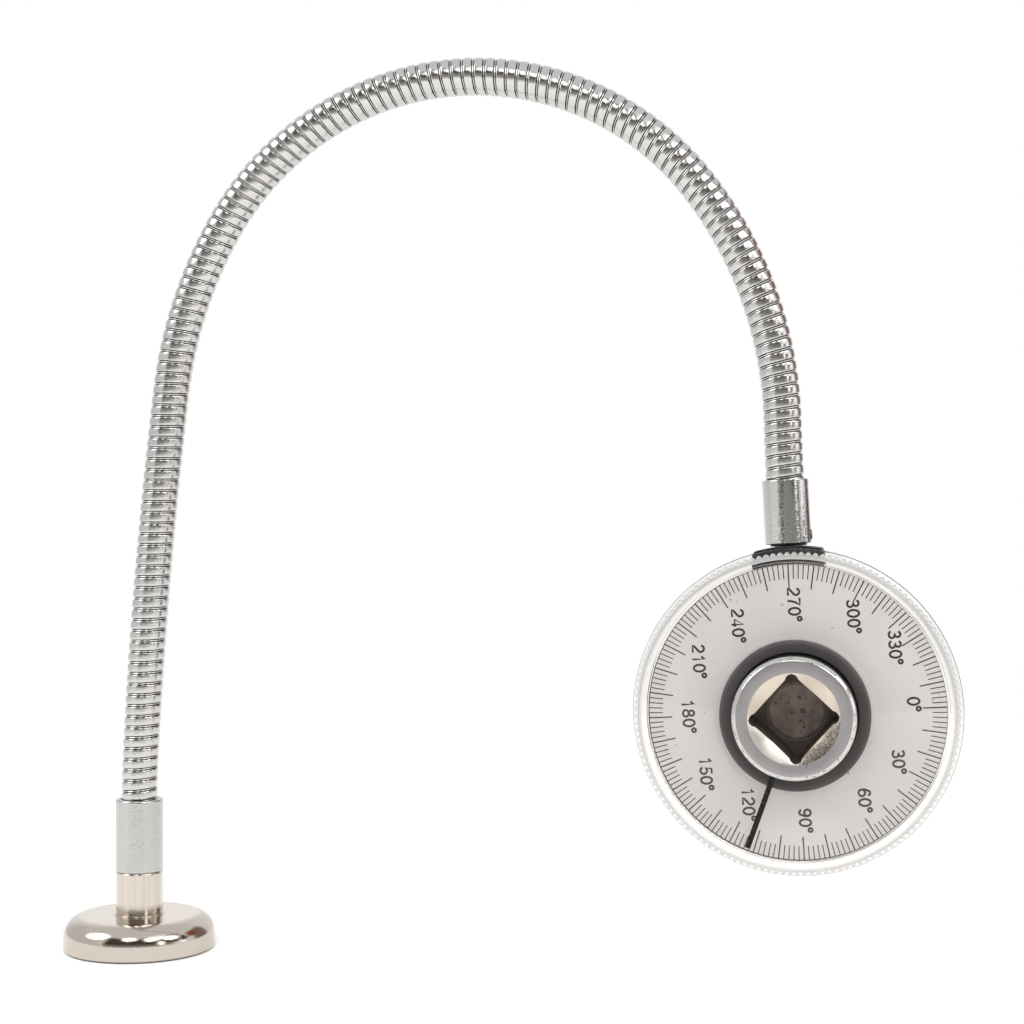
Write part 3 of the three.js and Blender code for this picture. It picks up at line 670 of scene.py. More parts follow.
def held(outline):
    """Adds points just past each rounded corner, so that the flat beside it is shaded flat."""
    points = []
    for i, corner in enumerate(outline):
        points.append(corner)
        following = outline[(i + 1) % len(outline)]
        span = math.dist(corner[:2], following[:2])
        if span < corner[2] + following[2] + 4 * HOLD:
            continue
        starts = [corner[2] + HOLD] if corner[2] > 0 else []
        ends = [span - following[2] - HOLD] if following[2] > 0 else []
        for distance in starts + ends:
            share = distance / span
            points.append(tuple(a + (b - a) * share for a, b in zip(corner[:2], following[:2])) + (0,))
    return points


def turned(outline, steps=SMALL_STEPS, angle=FULL_TURN, capped=True):
    """A body turned about Z. The outline's corners are (radius, height, rounding)."""
    shape = bmesh.new()
    outline = held(outline)
    corners = [shape.verts.new((radius, 0, height)) for radius, height, _ in outline]
    for start, end in zip(corners, corners[1:] + corners[:1]):
        if start.co.x > WELD or end.co.x > WELD:
            shape.edges.new((start, end))
    for corner, (_, _, rounding) in zip(corners, outline):
        if rounding > 0:
            segments = SHOULDER_STEPS if rounding > SHOULDER_FROM else EDGE_STEPS
            bevelled(shape, [corner], rounding, segments, "VERTICES")
    whole = angle == FULL_TURN
    spin(shape, shape.verts[:] + shape.edges[:], steps, angle, merge=whole)
    bmesh.ops.remove_doubles(shape, verts=shape.verts, dist=WELD)
    if capped and not whole:
        fill_holes(shape)
    bmesh.ops.recalc_face_normals(shape, faces=shape.faces)
    return shape


def rod(radius, low, high, edge=0.0, steps=SMALL_STEPS):
    return turned([(0, low, 0), (radius, low, edge), (radius, high, edge), (0, high, 0)], steps)


def ring(inner, outer, low, high, edge=0.0, steps=WIDE_STEPS):
    return turned([(inner, low, edge), (outer, low, edge), (outer, high, edge), (inner, high, edge)], steps)


def moved(shape, matrix):
    bmesh.ops.transform(shape, matrix=matrix, verts=shape.verts)
    return shape


def block(size, centre):
    shape = bmesh.new()
    bmesh.ops.create_cube(shape, size=1, matrix=Matrix.Translation(centre) @ Matrix.Diagonal((*size, 1)))
    return shape


def mesh_of(name, shape):
    mesh = bpy.data.meshes.new(name)
    shape.to_mesh(mesh)
    shape.free()
    return mesh


def linked(name, data):
    """A new object in the scene."""
    made = bpy.data.objects.new(name, data)
    bpy.context.scene.collection.objects.link(made)
    return made


def evaluated_shape(holder):
    """The shape that an object has with its modifiers, or a curve with its strokes."""
    evaluated = holder.evaluated_get(bpy.context.evaluated_depsgraph_get())
    shape = bmesh.new()
    shape.from_mesh(evaluated.to_mesh())
    evaluated.to_mesh_clear()
    return shape


def combined(shape, tool, operation):
    """One closed body joined to, cut by or kept inside another, by the exact boolean."""
    parts = (("kept_body", shape), ("tool_body", tool))
    bodies = [linked(label, mesh_of(label, part)) for label, part in parts]
    kept, cutter = bodies
    modifier = kept.modifiers.new("combined", "BOOLEAN")
    modifier.operation = operation
    modifier.solver = "EXACT"
    modifier.object = cutter
    result = evaluated_shape(kept)
    for body in bodies:
        mesh = body.data
        bpy.data.objects.remove(body)
        bpy.data.meshes.remove(mesh)
    if not result.faces:
        raise RuntimeError(f"the {operation.lower()} left nothing")
    bmesh.ops.remove_doubles(result, verts=result.verts, dist=WELD / 10)
    return result


def piece(name, shape, body, finishes, replaced, place=None):
    """Makes a shape a piece, with its materials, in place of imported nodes, on a body if one is given."""
    if place is not None:
        moved(shape, place)
    mesh = mesh_of(name, shape)
    for finish in finishes:
        mesh.materials.append(MATERIALS[finish])
    mesh.polygons.foreach_set("use_smooth", [True] * len(mesh.polygons))
    mesh.set_sharp_from_angle(angle=SMOOTH_ANGLE)
    made = linked(name, mesh)
    if body is not None:
        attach(made, body)
    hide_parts(*replaced)
    return made


def dress(node, finish):
    """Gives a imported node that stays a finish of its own."""
    mesh = frame["nodes"][node].data
    mesh.materials.clear()
    mesh.materials.append(MATERIALS[finish])


# Foot

SEAT_GAP = 0.15 * MM  # between pieces that lie beside each other
MOUTH_EDGE = 0.05 * MM  # rounding of the rims that barely show


def foot_pieces(foot):
    cup_low, cup_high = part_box("magnet_cup")
    outer = cup_high.x
    inner = outer - foot.cup_wall
    roof = cup_high.z - foot.cup_roof
    cup = turned([
        (foot.stud_hole, cup_high.z, 0.1 * MM),
        (outer, cup_high.z, foot.shoulder),
        (outer, cup_low.z, foot.foot_bevel),
        (inner, cup_low.z, 0.15 * MM),
        (inner, roof, 0.15 * MM),
        (foot.stud_hole, roof, 0),
    ], WIDE_STEPS)
    piece("foot_cup", cup, "base", ["polished_nickel_plate"], ["magnet_cup"])

    low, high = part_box("magnet_disc")
    piece(
        "foot_magnet", rod(high.x, low.z, high.z, 0.2 * MM, WIDE_STEPS), "base",
        ["sintered_magnet"], ["magnet_disc"],
    )
    magnet_radius = high.x
    low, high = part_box("magnet_liner")
    piece(
        "foot_liner", ring(magnet_radius + SEAT_GAP, high.x, low.z, high.z, 0.08 * MM), "base",
        ["poured_resin"], ["magnet_liner"],
    )
    low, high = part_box("post_washer")
    piece(
        "foot_washer", ring(foot.stud_hole, high.x, low.z, high.z, 0.06 * MM), "base",
        ["polished_nickel_plate"], ["post_washer"],
    )
    low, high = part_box("base_post")
    post = turned([
        (foot.stud_hole, low.z, 0),
        (high.x, low.z, 0.12 * MM),
        (high.x, high.z, foot.post_bevel),
        (foot.stud_hole, high.z, 0),
    ], WIDE_STEPS)
    piece("foot_post", post, "base", ["turned_nickel_plate"], ["base_post"])
    low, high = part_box("lower_ferrule")
    ferrule = turned([
        (foot.stud_hole, low.z, 0),
        (high.x, low.z, foot.ferrule_edge),
        (high.x, high.z, foot.ferrule_lip),
        (foot.arm_socket, high.z, MOUTH_EDGE),
        (foot.arm_socket, high.z - foot.socket_depth, 0),
        (foot.stud_hole, high.z - foot.socket_depth, 0),
    ], WIDE_STEPS)
    piece("arm_foot_ferrule", ferrule, "base", ["satin_chrome_plate"], ["lower_ferrule"])


# Gooseneck

def arm_at(distance):
    """The centreline at a distance from the lower ferrule's mouth, and its heading from +Z to +X."""
    x, z, heading = 0.0, FERRULE_TOP, 0.0
    if distance < 0:
        return x, z + distance, heading
    left = distance
    for arc_length, bend in ARM_ARCS:
        run = min(left, arc_length * MM)
        turn = math.radians(bend) * run / (arc_length * MM)
        chord = run * (math.sin(turn / 2) / (turn / 2) if turn else 1)
        x += chord * math.sin(heading + turn / 2)
        z += chord * math.cos(heading + turn / 2)
        heading += turn
        left -= run
    return x + left * math.sin(heading), z + left * math.cos(heading), heading


BEAD_POINTS = 8
BAND_POINTS = 14
BAND_FLATNESS = 0.13  # the band's section is a sine to this power, so that its top is nearly flat
STEPS_PER_TURN = 40
GROOVE_SHADE_SHARE = 0.35  # how far up from the groove the painted shade reaches, as a share of the bead's height
CUT_END = 0.99  # a face whose normal has this much of the axis is a cut end
WIRE_FINISHES = ["chromed_spring_wire", "painted_shade_wire_groove", "burnished_wire_bead"]
BAND, GROOVE, BEAD = range(3)


def wire_outline(arm):
    """One pitch of the winding as (radius, height): a round bead, then the wide band."""
    gap = arm.groove_width
    bead = arm.bead_width / 2
    band = (PITCH - 2 * gap - arm.bead_width) / 2
    points = [(arm.groove, 0)]
    for i in range(BEAD_POINTS + 1):
        angle = math.pi * i / BEAD_POINTS
        rise = (arm.bead - arm.groove) * math.sin(angle)
        points.append((arm.groove + rise, gap / 2 + bead - bead * math.cos(angle)))
    centre = PITCH - gap / 2 - band
    for i in range(BAND_POINTS + 1):
        angle = math.pi * i / BAND_POINTS
        rise = (arm.crest - arm.groove) * max(math.sin(angle), 0) ** BAND_FLATNESS
        points.append((arm.groove + rise, centre - band * math.cos(angle)))
    points.append((arm.groove, PITCH))
    return points


def wound_tube(arm, start, end):
    """The wound wire as a straight tube along Z, cut square at both ends."""
    shape = bmesh.new()
    line = [shape.verts.new((radius, 0, height)) for radius, height in wire_outline(arm)]
    for a, b in zip(line, line[1:]):
        shape.edges.new((a, b))
    spin(shape, shape.verts[:] + shape.edges[:], STEPS_PER_TURN, rise=PITCH / STEPS_PER_TURN)
    first_turn = math.floor(start / PITCH) - 2
    last_turn = math.ceil(end / PITCH) + 1
    one_turn = everything(shape)
    for turn in range(first_turn + 1, last_turn + 1):
        copied = bmesh.ops.duplicate(shape, geom=one_turn)["geom"]
        verts = [item for item in copied if isinstance(item, bmesh.types.BMVert)]
        bmesh.ops.translate(shape, verts=verts, vec=(0, 0, (turn - first_turn) * PITCH))
    bmesh.ops.translate(shape, verts=shape.verts, vec=(0, 0, first_turn * PITCH))
    bmesh.ops.remove_doubles(shape, verts=shape.verts, dist=WELD)
    for height, below in ((start, True), (end, False)):
        bmesh.ops.bisect_plane(
            shape, geom=everything(shape), dist=WELD / 10, plane_co=(0, 0, height), plane_no=(0, 0, 1),
            clear_inner=below, clear_outer=not below,
        )
    fill_holes(shape)
    bmesh.ops.recalc_face_normals(shape, faces=shape.faces)
    return shape


def bent_along_arm(shape, arm):
    """Bends the straight tube on to the arm's route, and keeps where each point was."""
    straight = shape.verts.layers.float_vector.new("straight")
    dull = arm.groove + (arm.bead - arm.groove) * GROOVE_SHADE_SHARE
    bead_share = (arm.groove_width + arm.bead_width) / PITCH
    for face in shape.faces:
        centre = face.calc_center_median()
        turned_by = math.atan2(centre.y, centre.x) / FULL_TURN
        across_turn = (centre.z / PITCH - turned_by) % 1
        # faces low in the groove take the painted groove shade
        if math.hypot(centre.x, centre.y) < dull:
            face.material_index = GROOVE
        elif across_turn < bead_share and abs(face.normal.z) < CUT_END:
            face.material_index = BEAD
        else:
            face.material_index = BAND
    for vert in shape.verts:
        vert[straight] = vert.co
        x, z, heading = arm_at(vert.co.z)
        across = vert.co.x
        vert.co = (x + across * math.cos(heading), vert.co.y, z - across * math.sin(heading))
    return shape


def gooseneck_pieces(arm):
    """One piece for each hinge, from the middle of one section to the middle of the next."""
    hinges = [turn * PITCH for turn in ARM_HINGE_TURNS]
    in_ferrule = TURNS_IN_FERRULE * PITCH
    middles = [(a + b) / 2 for a, b in zip(hinges, hinges[1:])]
    stops = [-in_ferrule, *middles, ARM_LENGTH + in_ferrule]
    for i, (start, end) in enumerate(zip(stops, stops[1:])):
        shape = bent_along_arm(wound_tube(arm, start, end), arm)
        name = f"gooseneck_bend_{i + 1}"
        made = piece(
            name, shape, None, WIRE_FINISHES,
            [f"gooseneck_{i + 1}", f"gooseneck_{i + 2}"],
        )
        heading = arm_at(hinges[i])[2]
        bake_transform(made)


STUD_BORE = 3.15 * MM


def hanger_pieces(arm, foot):
    """The upper ferrule with its set screw, and the neck below it."""
    head_reach, ferrule_top = 34.35 * MM, 47.75 * MM
    outer = 4.825 * MM
    sink_wider, sink_depth, sink_land = 0.55 * MM, 0.9 * MM, 0.1 * MM
    hexagon_depth = 0.6 * MM
    neck_wall, neck_low, neck_high = 0.65 * MM, 0.425 * MM, 0.075 * MM
    ferrule = turned([
        (STUD_BORE, head_reach, 0),
        (outer, head_reach, foot.ferrule_edge),
        (outer, ferrule_top, foot.ferrule_edge),
        (foot.arm_socket, ferrule_top, MOUTH_EDGE),
        (foot.arm_socket, ferrule_top - foot.socket_depth, 0),
        (STUD_BORE, ferrule_top - foot.socket_depth, 0),
    ], WIDE_STEPS)
    across = Matrix.Translation((0, 0, arm.screw_height)) @ Matrix.Rotation(math.pi / 2, 4, "Y")
    hole = moved(rod(arm.screw_radius + arm.screw_play, 0, outer + OVERRUN), across)
    ferrule = combined(ferrule, hole, "DIFFERENCE")
    wide = arm.screw_radius + sink_wider
    sink = moved(turned([
        (0, outer - sink_depth, 0),
        (arm.screw_radius, outer - sink_depth, 0),
        (wide, outer - sink_land, 0),
        (wide, outer + OVERRUN, 0),
        (0, outer + OVERRUN, 0),
    ]), across)
    ferrule = combined(ferrule, sink, "DIFFERENCE")
    piece(
        "arm_head_ferrule", ferrule, "head", ["gritty_chrome_with_painted_reflection"],
        ["upper_ferrule"], HANGER,
    )
    screw_end = outer + arm.screw_proud
    screw = rod(arm.screw_radius, STUD_BORE, screw_end, 0.12 * MM)
    hexagon = rod(arm.screw_socket, screw_end - hexagon_depth, screw_end + OVERRUN, steps=6)
    screw = moved(combined(screw, hexagon, "DIFFERENCE"), across)
    piece("ferrule_set_screw", screw, "head", ["turned_steel"], ["set_screw"], HANGER)
    neck = ring(
        STUD_BORE, STUD_BORE + neck_wall, head_reach - neck_low, head_reach - neck_high, MOUTH_EDGE
    )
    piece("neck_spacer", neck, "head", ["moulded_black_nylon"], ["head_neck"], HANGER)


# Scale

TICK_STEP = 2
LONG_TICK_STEP = 10

# Each numeral's middle on the scale, in millimetres to the right of and above the dial's centre
NUMERALS = {
    0: (23.57, 0.66),
    30: (19.96, -10.84),
    60: (12.78, -18.47),
    90: (0.64, -22.25),
    120: (-10.66, -18.58),
    150: (-19.00, -12.03),
    180: (-21.94, -0.12),
    210: (-19.20, 11.06),
    240: (-10.78, 18.02),
    270: (0.83, 21.86),
    300: (12.61, 18.91),
    330: (20.54, 12.28),
}

# Strokes of each digit in a box 0.66 wide and 1 high. A pair is a corner of a line. Six numbers are
# an arc: its centre, its two radii, and the degrees where it starts and ends.
DIGITS = {
    "0": [[(0.33, 0.5, 0.262, 0.432, 0, 360)]],
    "1": [[(0.15, 0.74), (0.28, 0.78), (0.35, 0.86), (0.385, 0.97), (0.385, 0.0)]],
    "2": [[(0.33, 0.68, 0.25, 0.252, 172, -28), (0.40, 0.42), (0.13, 0.2), (0.07, 0.068), (0.6, 0.068)]],
    "3": [[(0.31, 0.725, 0.215, 0.207, 165, -80), (0.24, 0.52), (0.33, 0.295, 0.26, 0.227, 80, -165)]],
    "4": [[(0.62, 0.255), (0.07, 0.255), (0.46, 0.92), (0.46, 0.0)]],
    "5": [[(0.57, 0.93), (0.19, 0.93), (0.12, 0.48), (0.325, 0.32, 0.262, 0.252, 128, -160)]],
    "6": [
        [(0.57, 0.77), (0.36, 0.66, 0.22, 0.27, 45, 130), (0.345, 0.42, 0.27, 0.35, 150, 185)],
        [(0.338, 0.31, 0.25, 0.242, 0, 360)],
    ],
    "7": [[(0.06, 0.93), (0.595, 0.93), (0.42, 0.66), (0.31, 0.36), (0.255, 0.0)]],
    "8": [[(0.33, 0.73, 0.2, 0.2, 0, 360)], [(0.33, 0.29, 0.256, 0.222, 0, 360)]],
    "9": [
        [(0.09, 0.23), (0.3, 0.34, 0.22, 0.27, 225, 310), (0.315, 0.58, 0.27, 0.35, -30, 5)],
        [(0.322, 0.69, 0.25, 0.242, 0, 360)],
    ],
    "degree": [[(0.33, 0.5, 0.145, 0.145, 0, 360)]],
}
DIGIT_WIDTH_SHARE = 0.66
DEGREE_SHARES = (0.575, 0.355)  # the degree sign's middle beyond the last digit's, and above it
STROKE_STEP = 18  # degrees between the points of an arc


def stroke_points(stroke):
    points = []
    for part in stroke:
        if len(part) == 2:
            points.append(part)
            continue
        x, y, wide, tall, start, end = part
        count = max(int(abs(end - start) / STROKE_STEP), 2)
        for i in range(count + 1):
            angle = math.radians(start + (end - start) * i / count)
            points.append((x + wide * math.cos(angle), y + tall * math.sin(angle)))
    return points


def add_sign(curve, sign, centre, height):
    """Draws one sign's strokes into a curve, with its middle at a place on the scale."""
    for stroke in DIGITS[sign]:
        points = stroke_points(stroke)
        closed = math.dist(points[0], points[-1]) < 0.001
        if closed:
            points = points[:-1]
        spline = curve.splines.new("POLY")
        spline.points.add(len(points) - 1)
        spline.use_cyclic_u = closed
        for point, (u, v) in zip(spline.points, points):
            # the signs read downwards, so their tops point to the right of the dial
            right = centre[0] + (v - 0.5) * height
            down = centre[1] + (u - DIGIT_WIDTH_SHARE / 2) * height
            point.co = (right, down, 0, 1)


def numeral_shape(dial):
    """All the numerals as flat strokes of ink."""
    curve = bpy.data.curves.new("numeral_strokes", "CURVE")
    curve.dimensions = "3D"
    curve.bevel_depth = dial.digit_stroke / 2
    curve.bevel_resolution = 1
    curve.use_fill_caps = True
    height = dial.digit_height
    after, above = (share * height for share in DEGREE_SHARES)
    for number, (right, up) in NUMERALS.items():
        digits = str(number)
        reach = (len(digits) - 1) * dial.digit_advance
        middle = (reach + after) / 2
        for i, digit in enumerate(digits):
            down = -up * MM - middle + i * dial.digit_advance
            add_sign(curve, digit, (right * MM, down), height)
        add_sign(curve, "degree", (right * MM + above, -up * MM - middle + reach + after), height)
    holder = linked("numeral_strokes", curve)
    shape = evaluated_shape(holder)
    bpy.data.objects.remove(holder)
    bpy.data.curves.remove(curve)
    flatness = dial.ink / dial.digit_stroke
    bmesh.ops.scale(shape, vec=(1, 1, 2 * flatness), verts=shape.verts)
    sealed(shape, WELD / 10)
    bmesh.ops.translate(shape, vec=(0, 0, -dial.scale_front), verts=shape.verts)
    return shape


def tick_shape(dial):
    """A mark every two degrees, longer every ten."""
    shape = bmesh.new()
    for angle in range(0, 360, TICK_STEP):
        is_long = angle % LONG_TICK_STEP == 0
        span = dial.tick_long if is_long else dial.tick_short
        width = dial.tick_wide if is_long else dial.tick_thin
        place = (
            Matrix.Rotation(math.radians(angle), 4, "Z")
            @ Matrix.Translation((dial.tick_outer - span / 2, 0, -dial.scale_front))
            @ Matrix.Diagonal((span, width, 2 * dial.ink, 1))
        )
        bmesh.ops.create_cube(shape, size=1, matrix=place)
    return shape


def border_shape(dial):
    """A dark ring round the scale's edge, printed a little off centre so that it is thicker at the left and
    bottom: a painted shadow at the scale's edge, in ink.
    """
    inner, outer, shift = dial.scale_radius - 0.2 * MM, dial.scale_radius - 0.06 * MM, 0.07 * MM
    shape = ring(inner, outer, -dial.scale_front - dial.ink, -dial.scale_front + dial.ink)
    for vert in shape.verts:
        if math.hypot(vert.co.x, vert.co.y) < (inner + outer) / 2:
            vert.co.x += shift
            vert.co.y -= shift
    return shape


def scale_pieces(dial):
    front, rear = -dial.scale_front, -dial.scale_front + dial.scale_sheet
    piece(
        "dial_scale", ring(dial.scale_hole, dial.scale_radius, front, rear, 0.05 * MM), "head",
        ["lacquered_aluminium"], ["scale_disc"], DIAL,
    )
    for name, shape in (
        ("dial_marks", tick_shape(dial)),
        # the ring at the scale's edge is a painted shadow, in ink
        ("dial_edge_painted_shadow", border_shape(dial)),
        ("dial_numerals", numeral_shape(dial)),
    ):
        piece(name, shape, "head", ["screen_printed_ink"], ["scale_disc"], DIAL)


# Rear housing

def housing_pieces(dial):
    inset, wall, back, rear = 0.8 * MM, 2.2 * MM, 2.5 * MM, 8.0 * MM
    outer = dial.scale_radius - inset
    inner = outer - wall
    floor = rear - back
    front = -dial.scale_front + dial.scale_sheet + SEAT_GAP
    boss_bore, boss, boss_front = 10.4 * MM, 13.1 * MM, -3.7 * MM
    shell = turned([
        (boss_bore, rear, 0.2 * MM),
        (boss_bore, boss_front, 0.1 * MM),
        (boss, boss_front, 0.2 * MM),
        (boss, floor, 0.4 * MM),
        (inner, floor, 0.6 * MM),
        (inner, front, 0.1 * MM),
        (outer, front, 0.15 * MM),
        (outer, rear - back / 2, 0.5 * MM),
        (outer - back / 2, rear, 0.5 * MM),
    ], WIDE_STEPS)
    lug_top, lug_low, lug_width = 33.85 * MM, 19.95 * MM, 14.6 * MM
    lug_front, lug_rear, corner = -7.35 * MM, 5.6 * MM, 2 * MM
    stud_depth = 12 * MM
    size = (lug_width, lug_top - lug_low, lug_rear - lug_front)
    lug = block(size, (0, -(lug_top + lug_low) / 2, (lug_front + lug_rear) / 2))
    top_edges = [
        edge for edge in lug.edges
        if all(vert.co.y < -lug_top + WELD for vert in edge.verts)
        and abs(edge.verts[0].co.z - edge.verts[1].co.z) > WELD
    ]
    bevelled(lug, top_edges, corner, 6)
    bevelled(lug, sharp_edges(lug), 0.25 * MM)
    # the lug's top follows the dial's round
    around = rod(lug_top, lug_front - OVERRUN, lug_rear + OVERRUN, steps=WIDE_STEPS)
    lug = combined(lug, around, "INTERSECT")
    stud_hole = rod(STUD_BORE, lug_top - stud_depth, lug_top + OVERRUN)
    moved(stud_hole, Matrix.Rotation(math.pi / 2, 4, "X"))
    shell = combined(shell, lug, "UNION")
    shell = combined(shell, stud_hole, "DIFFERENCE")
    piece(
        "dial_housing", shell, "head", ["moulded_black_nylon"], ["rear_housing"], DIAL
    )


# Cover

KNURL_TEETH = 142
STEPS_PER_TOOTH = 6
DOME_POINTS = 14
DOME_POWER = 1.5
COVER_FINISHES = [
    "clear_acrylic_sheet", "clear_acrylic_rim", "grained_acrylic_knurl", "clear_acrylic_underside",
]
SHEET, RIM, KNURL, UNDERSIDE = range(4)


def dome_at(dial, radius):
    """Height of the dome's outside at a radius, in front of the arm's plane as a minus."""
    share = (radius - dial.hub_seat) / (dial.dome_edge - dial.hub_seat)
    return -dial.dome_top + dial.dome_rise * max(share, 0) ** DOME_POWER


def cover_shape(dial):
    seat, floor_rear = -12.5 * MM, -10.3 * MM
    bore = 13.25 * MM
    flange_front, flange_rear = -9.0 * MM, -7.6 * MM
    knurl_front = -11.6 * MM
    wall_inside = dial.hub_seat + dial.cover_wall
    rim = dome_at(dial, dial.dome_edge)
    span = dial.dome_edge - dial.hub_seat
    radii = [dial.hub_seat + span * i / DOME_POINTS for i in range(DOME_POINTS + 1)]
    over = [(radius, dome_at(dial, radius), 0) for radius in radii]
    under = [
        (radius, front + dial.cover_wall, 0) for radius, front, _ in reversed(over)
        if radius > wall_inside
    ]
    edge = 0.12 * MM
    grain_from = 31.2 * MM
    tooth = FULL_TURN / KNURL_TEETH
    shape = turned([
        (bore, seat, edge),
        (dial.hub_seat, seat, 0),
        *over,
        (dial.knurl_root, rim, 0.75 * MM),
        (dial.knurl_root, knurl_front, 0),
        (dial.knurl_tip, knurl_front, edge),
        (dial.knurl_tip, flange_front, 0),
        (dial.flange, flange_front, 0.25 * MM),
        (dial.flange, flange_rear, 0.25 * MM),
        (dial.dome_edge, flange_rear, edge),
        *under,
        (wall_inside, dome_at(dial, wall_inside) + dial.cover_wall, 0),
        (wall_inside, floor_rear, 0.3 * MM),
        (bore, floor_rear, edge),
    ], STEPS_PER_TOOTH, tooth, capped=False)
    # one tooth: the band between the knurl's front and the flange swells and shrinks
    depth = dial.knurl_tip - dial.knurl_root
    for vert in shape.verts:
        radius = math.hypot(vert.co.x, vert.co.y)
        in_band = knurl_front - WELD < vert.co.z < flange_front + WELD
        if in_band and dial.knurl_root + edge < radius < dial.knurl_tip + WELD:
            share = abs(math.sin(math.atan2(vert.co.y, vert.co.x) * KNURL_TEETH / 2))
            vert.co.xy *= (radius - depth * (1 - share)) / radius
    for face in shape.faces:
        centre = face.calc_center_median()
        radius = math.hypot(centre.x, centre.y)
        in_knurl = radius > grain_from and centre.z < flange_front
        on_dome = radius > dial.hub_seat and centre.z < dome_at(dial, radius) + WELD
        if radius > dial.dome_edge - WELD:
            face.material_index = KNURL if in_knurl else RIM
        else:
            face.material_index = SHEET if on_dome else UNDERSIDE
    spin(shape, everything(shape), KNURL_TEETH - 1, FULL_TURN - tooth, copies=True)
    return sealed(shape)


def cover_pieces(dial):
    piece(
        "dial_cover", cover_shape(dial), "cover", COVER_FINISHES, ["knurled_cover"],
        DIAL,
    )
    hub_front = -16.6 * MM
    hub_bore, hub_outer, hub_rear = 12.7 * MM, 15.1 * MM, -12.65 * MM
    lip, dish = 0.5 * MM, 1.8 * MM
    hub = turned([
        (hub_bore, hub_rear, 0.05 * MM),
        (hub_outer, hub_rear, 0.05 * MM),
        (hub_outer, hub_front, 0.12 * MM),
        (hub_outer - lip, hub_front, 0.3 * MM),
        (hub_bore, hub_front + dish, 0.05 * MM),
    ], WIDE_STEPS)
    piece("dial_hub_ring", hub, "cover", ["moulded_dark_abs"], ["hub_ring"], DIAL)

    inner, tip = hub_bore, dial.pointer_tip
    strip = bmesh.new()
    bmesh.ops.create_grid(
        strip, x_segments=40, y_segments=1, size=0.5,
        matrix=Matrix.Translation(((inner + tip) / 2, 0, 0))
        @ Matrix.Diagonal((tip - inner, dial.pointer_width, 1, 1)),
    )
    for vert in strip.verts:
        front = dome_at(dial, vert.co.x)
        if vert.co.x < dial.hub_seat:
            front = min(front, hub_front)
        vert.co.z = front - SEAT_GAP
    raised = bmesh.ops.extrude_face_region(strip, geom=strip.faces[:])["geom"]
    top = [item for item in raised if isinstance(item, bmesh.types.BMVert)]
    bmesh.ops.translate(strip, verts=top, vec=(0, 0, -dial.pointer_thickness))
    bmesh.ops.recalc_face_normals(strip, faces=strip.faces)
    bevelled(strip, sharp_edges(strip), 0.08 * MM)
    moved(strip, Matrix.Rotation(dial.pointer_angle, 4, "Z"))
    piece(
        "dial_pointer", strip, "cover", ["black_acrylic_strip"], ["pointer_bar"], DIAL
    )


# Drive spindle

DETENT_PLACE = 19.1 * MM  # from the arm's plane back to the ball
SNAP_MOUTH = math.pi / 2  # the retaining ring's mouth points down


def socket_tool(drive):
    """The square with a round relief in each corner, as a body that cuts it."""
    front = -drive.collar_front - OVERRUN
    floor = -drive.collar_front + drive.socket_depth
    ledge = floor - 1.3 * MM  # the broach stops short of the drilled bottom
    ledge_width = 0.7 * MM
    tool = block((drive.socket, drive.socket, ledge - front), (0, 0, (front + ledge) / 2))
    reach = drive.socket / math.sqrt(2) - drive.lobe_inset
    for i in range(4):
        angle = SQUARE_TURN + i * math.pi / 2
        lobe = moved(
            rod(drive.lobe, front, ledge),
            Matrix.Translation((reach * math.cos(angle), reach * math.sin(angle), 0)),
        )
        tool = combined(tool, lobe, "UNION")
    drilled = rod(drive.socket / 2 - ledge_width, ledge - OVERRUN, floor, 0.35 * MM)
    return combined(tool, drilled, "UNION")


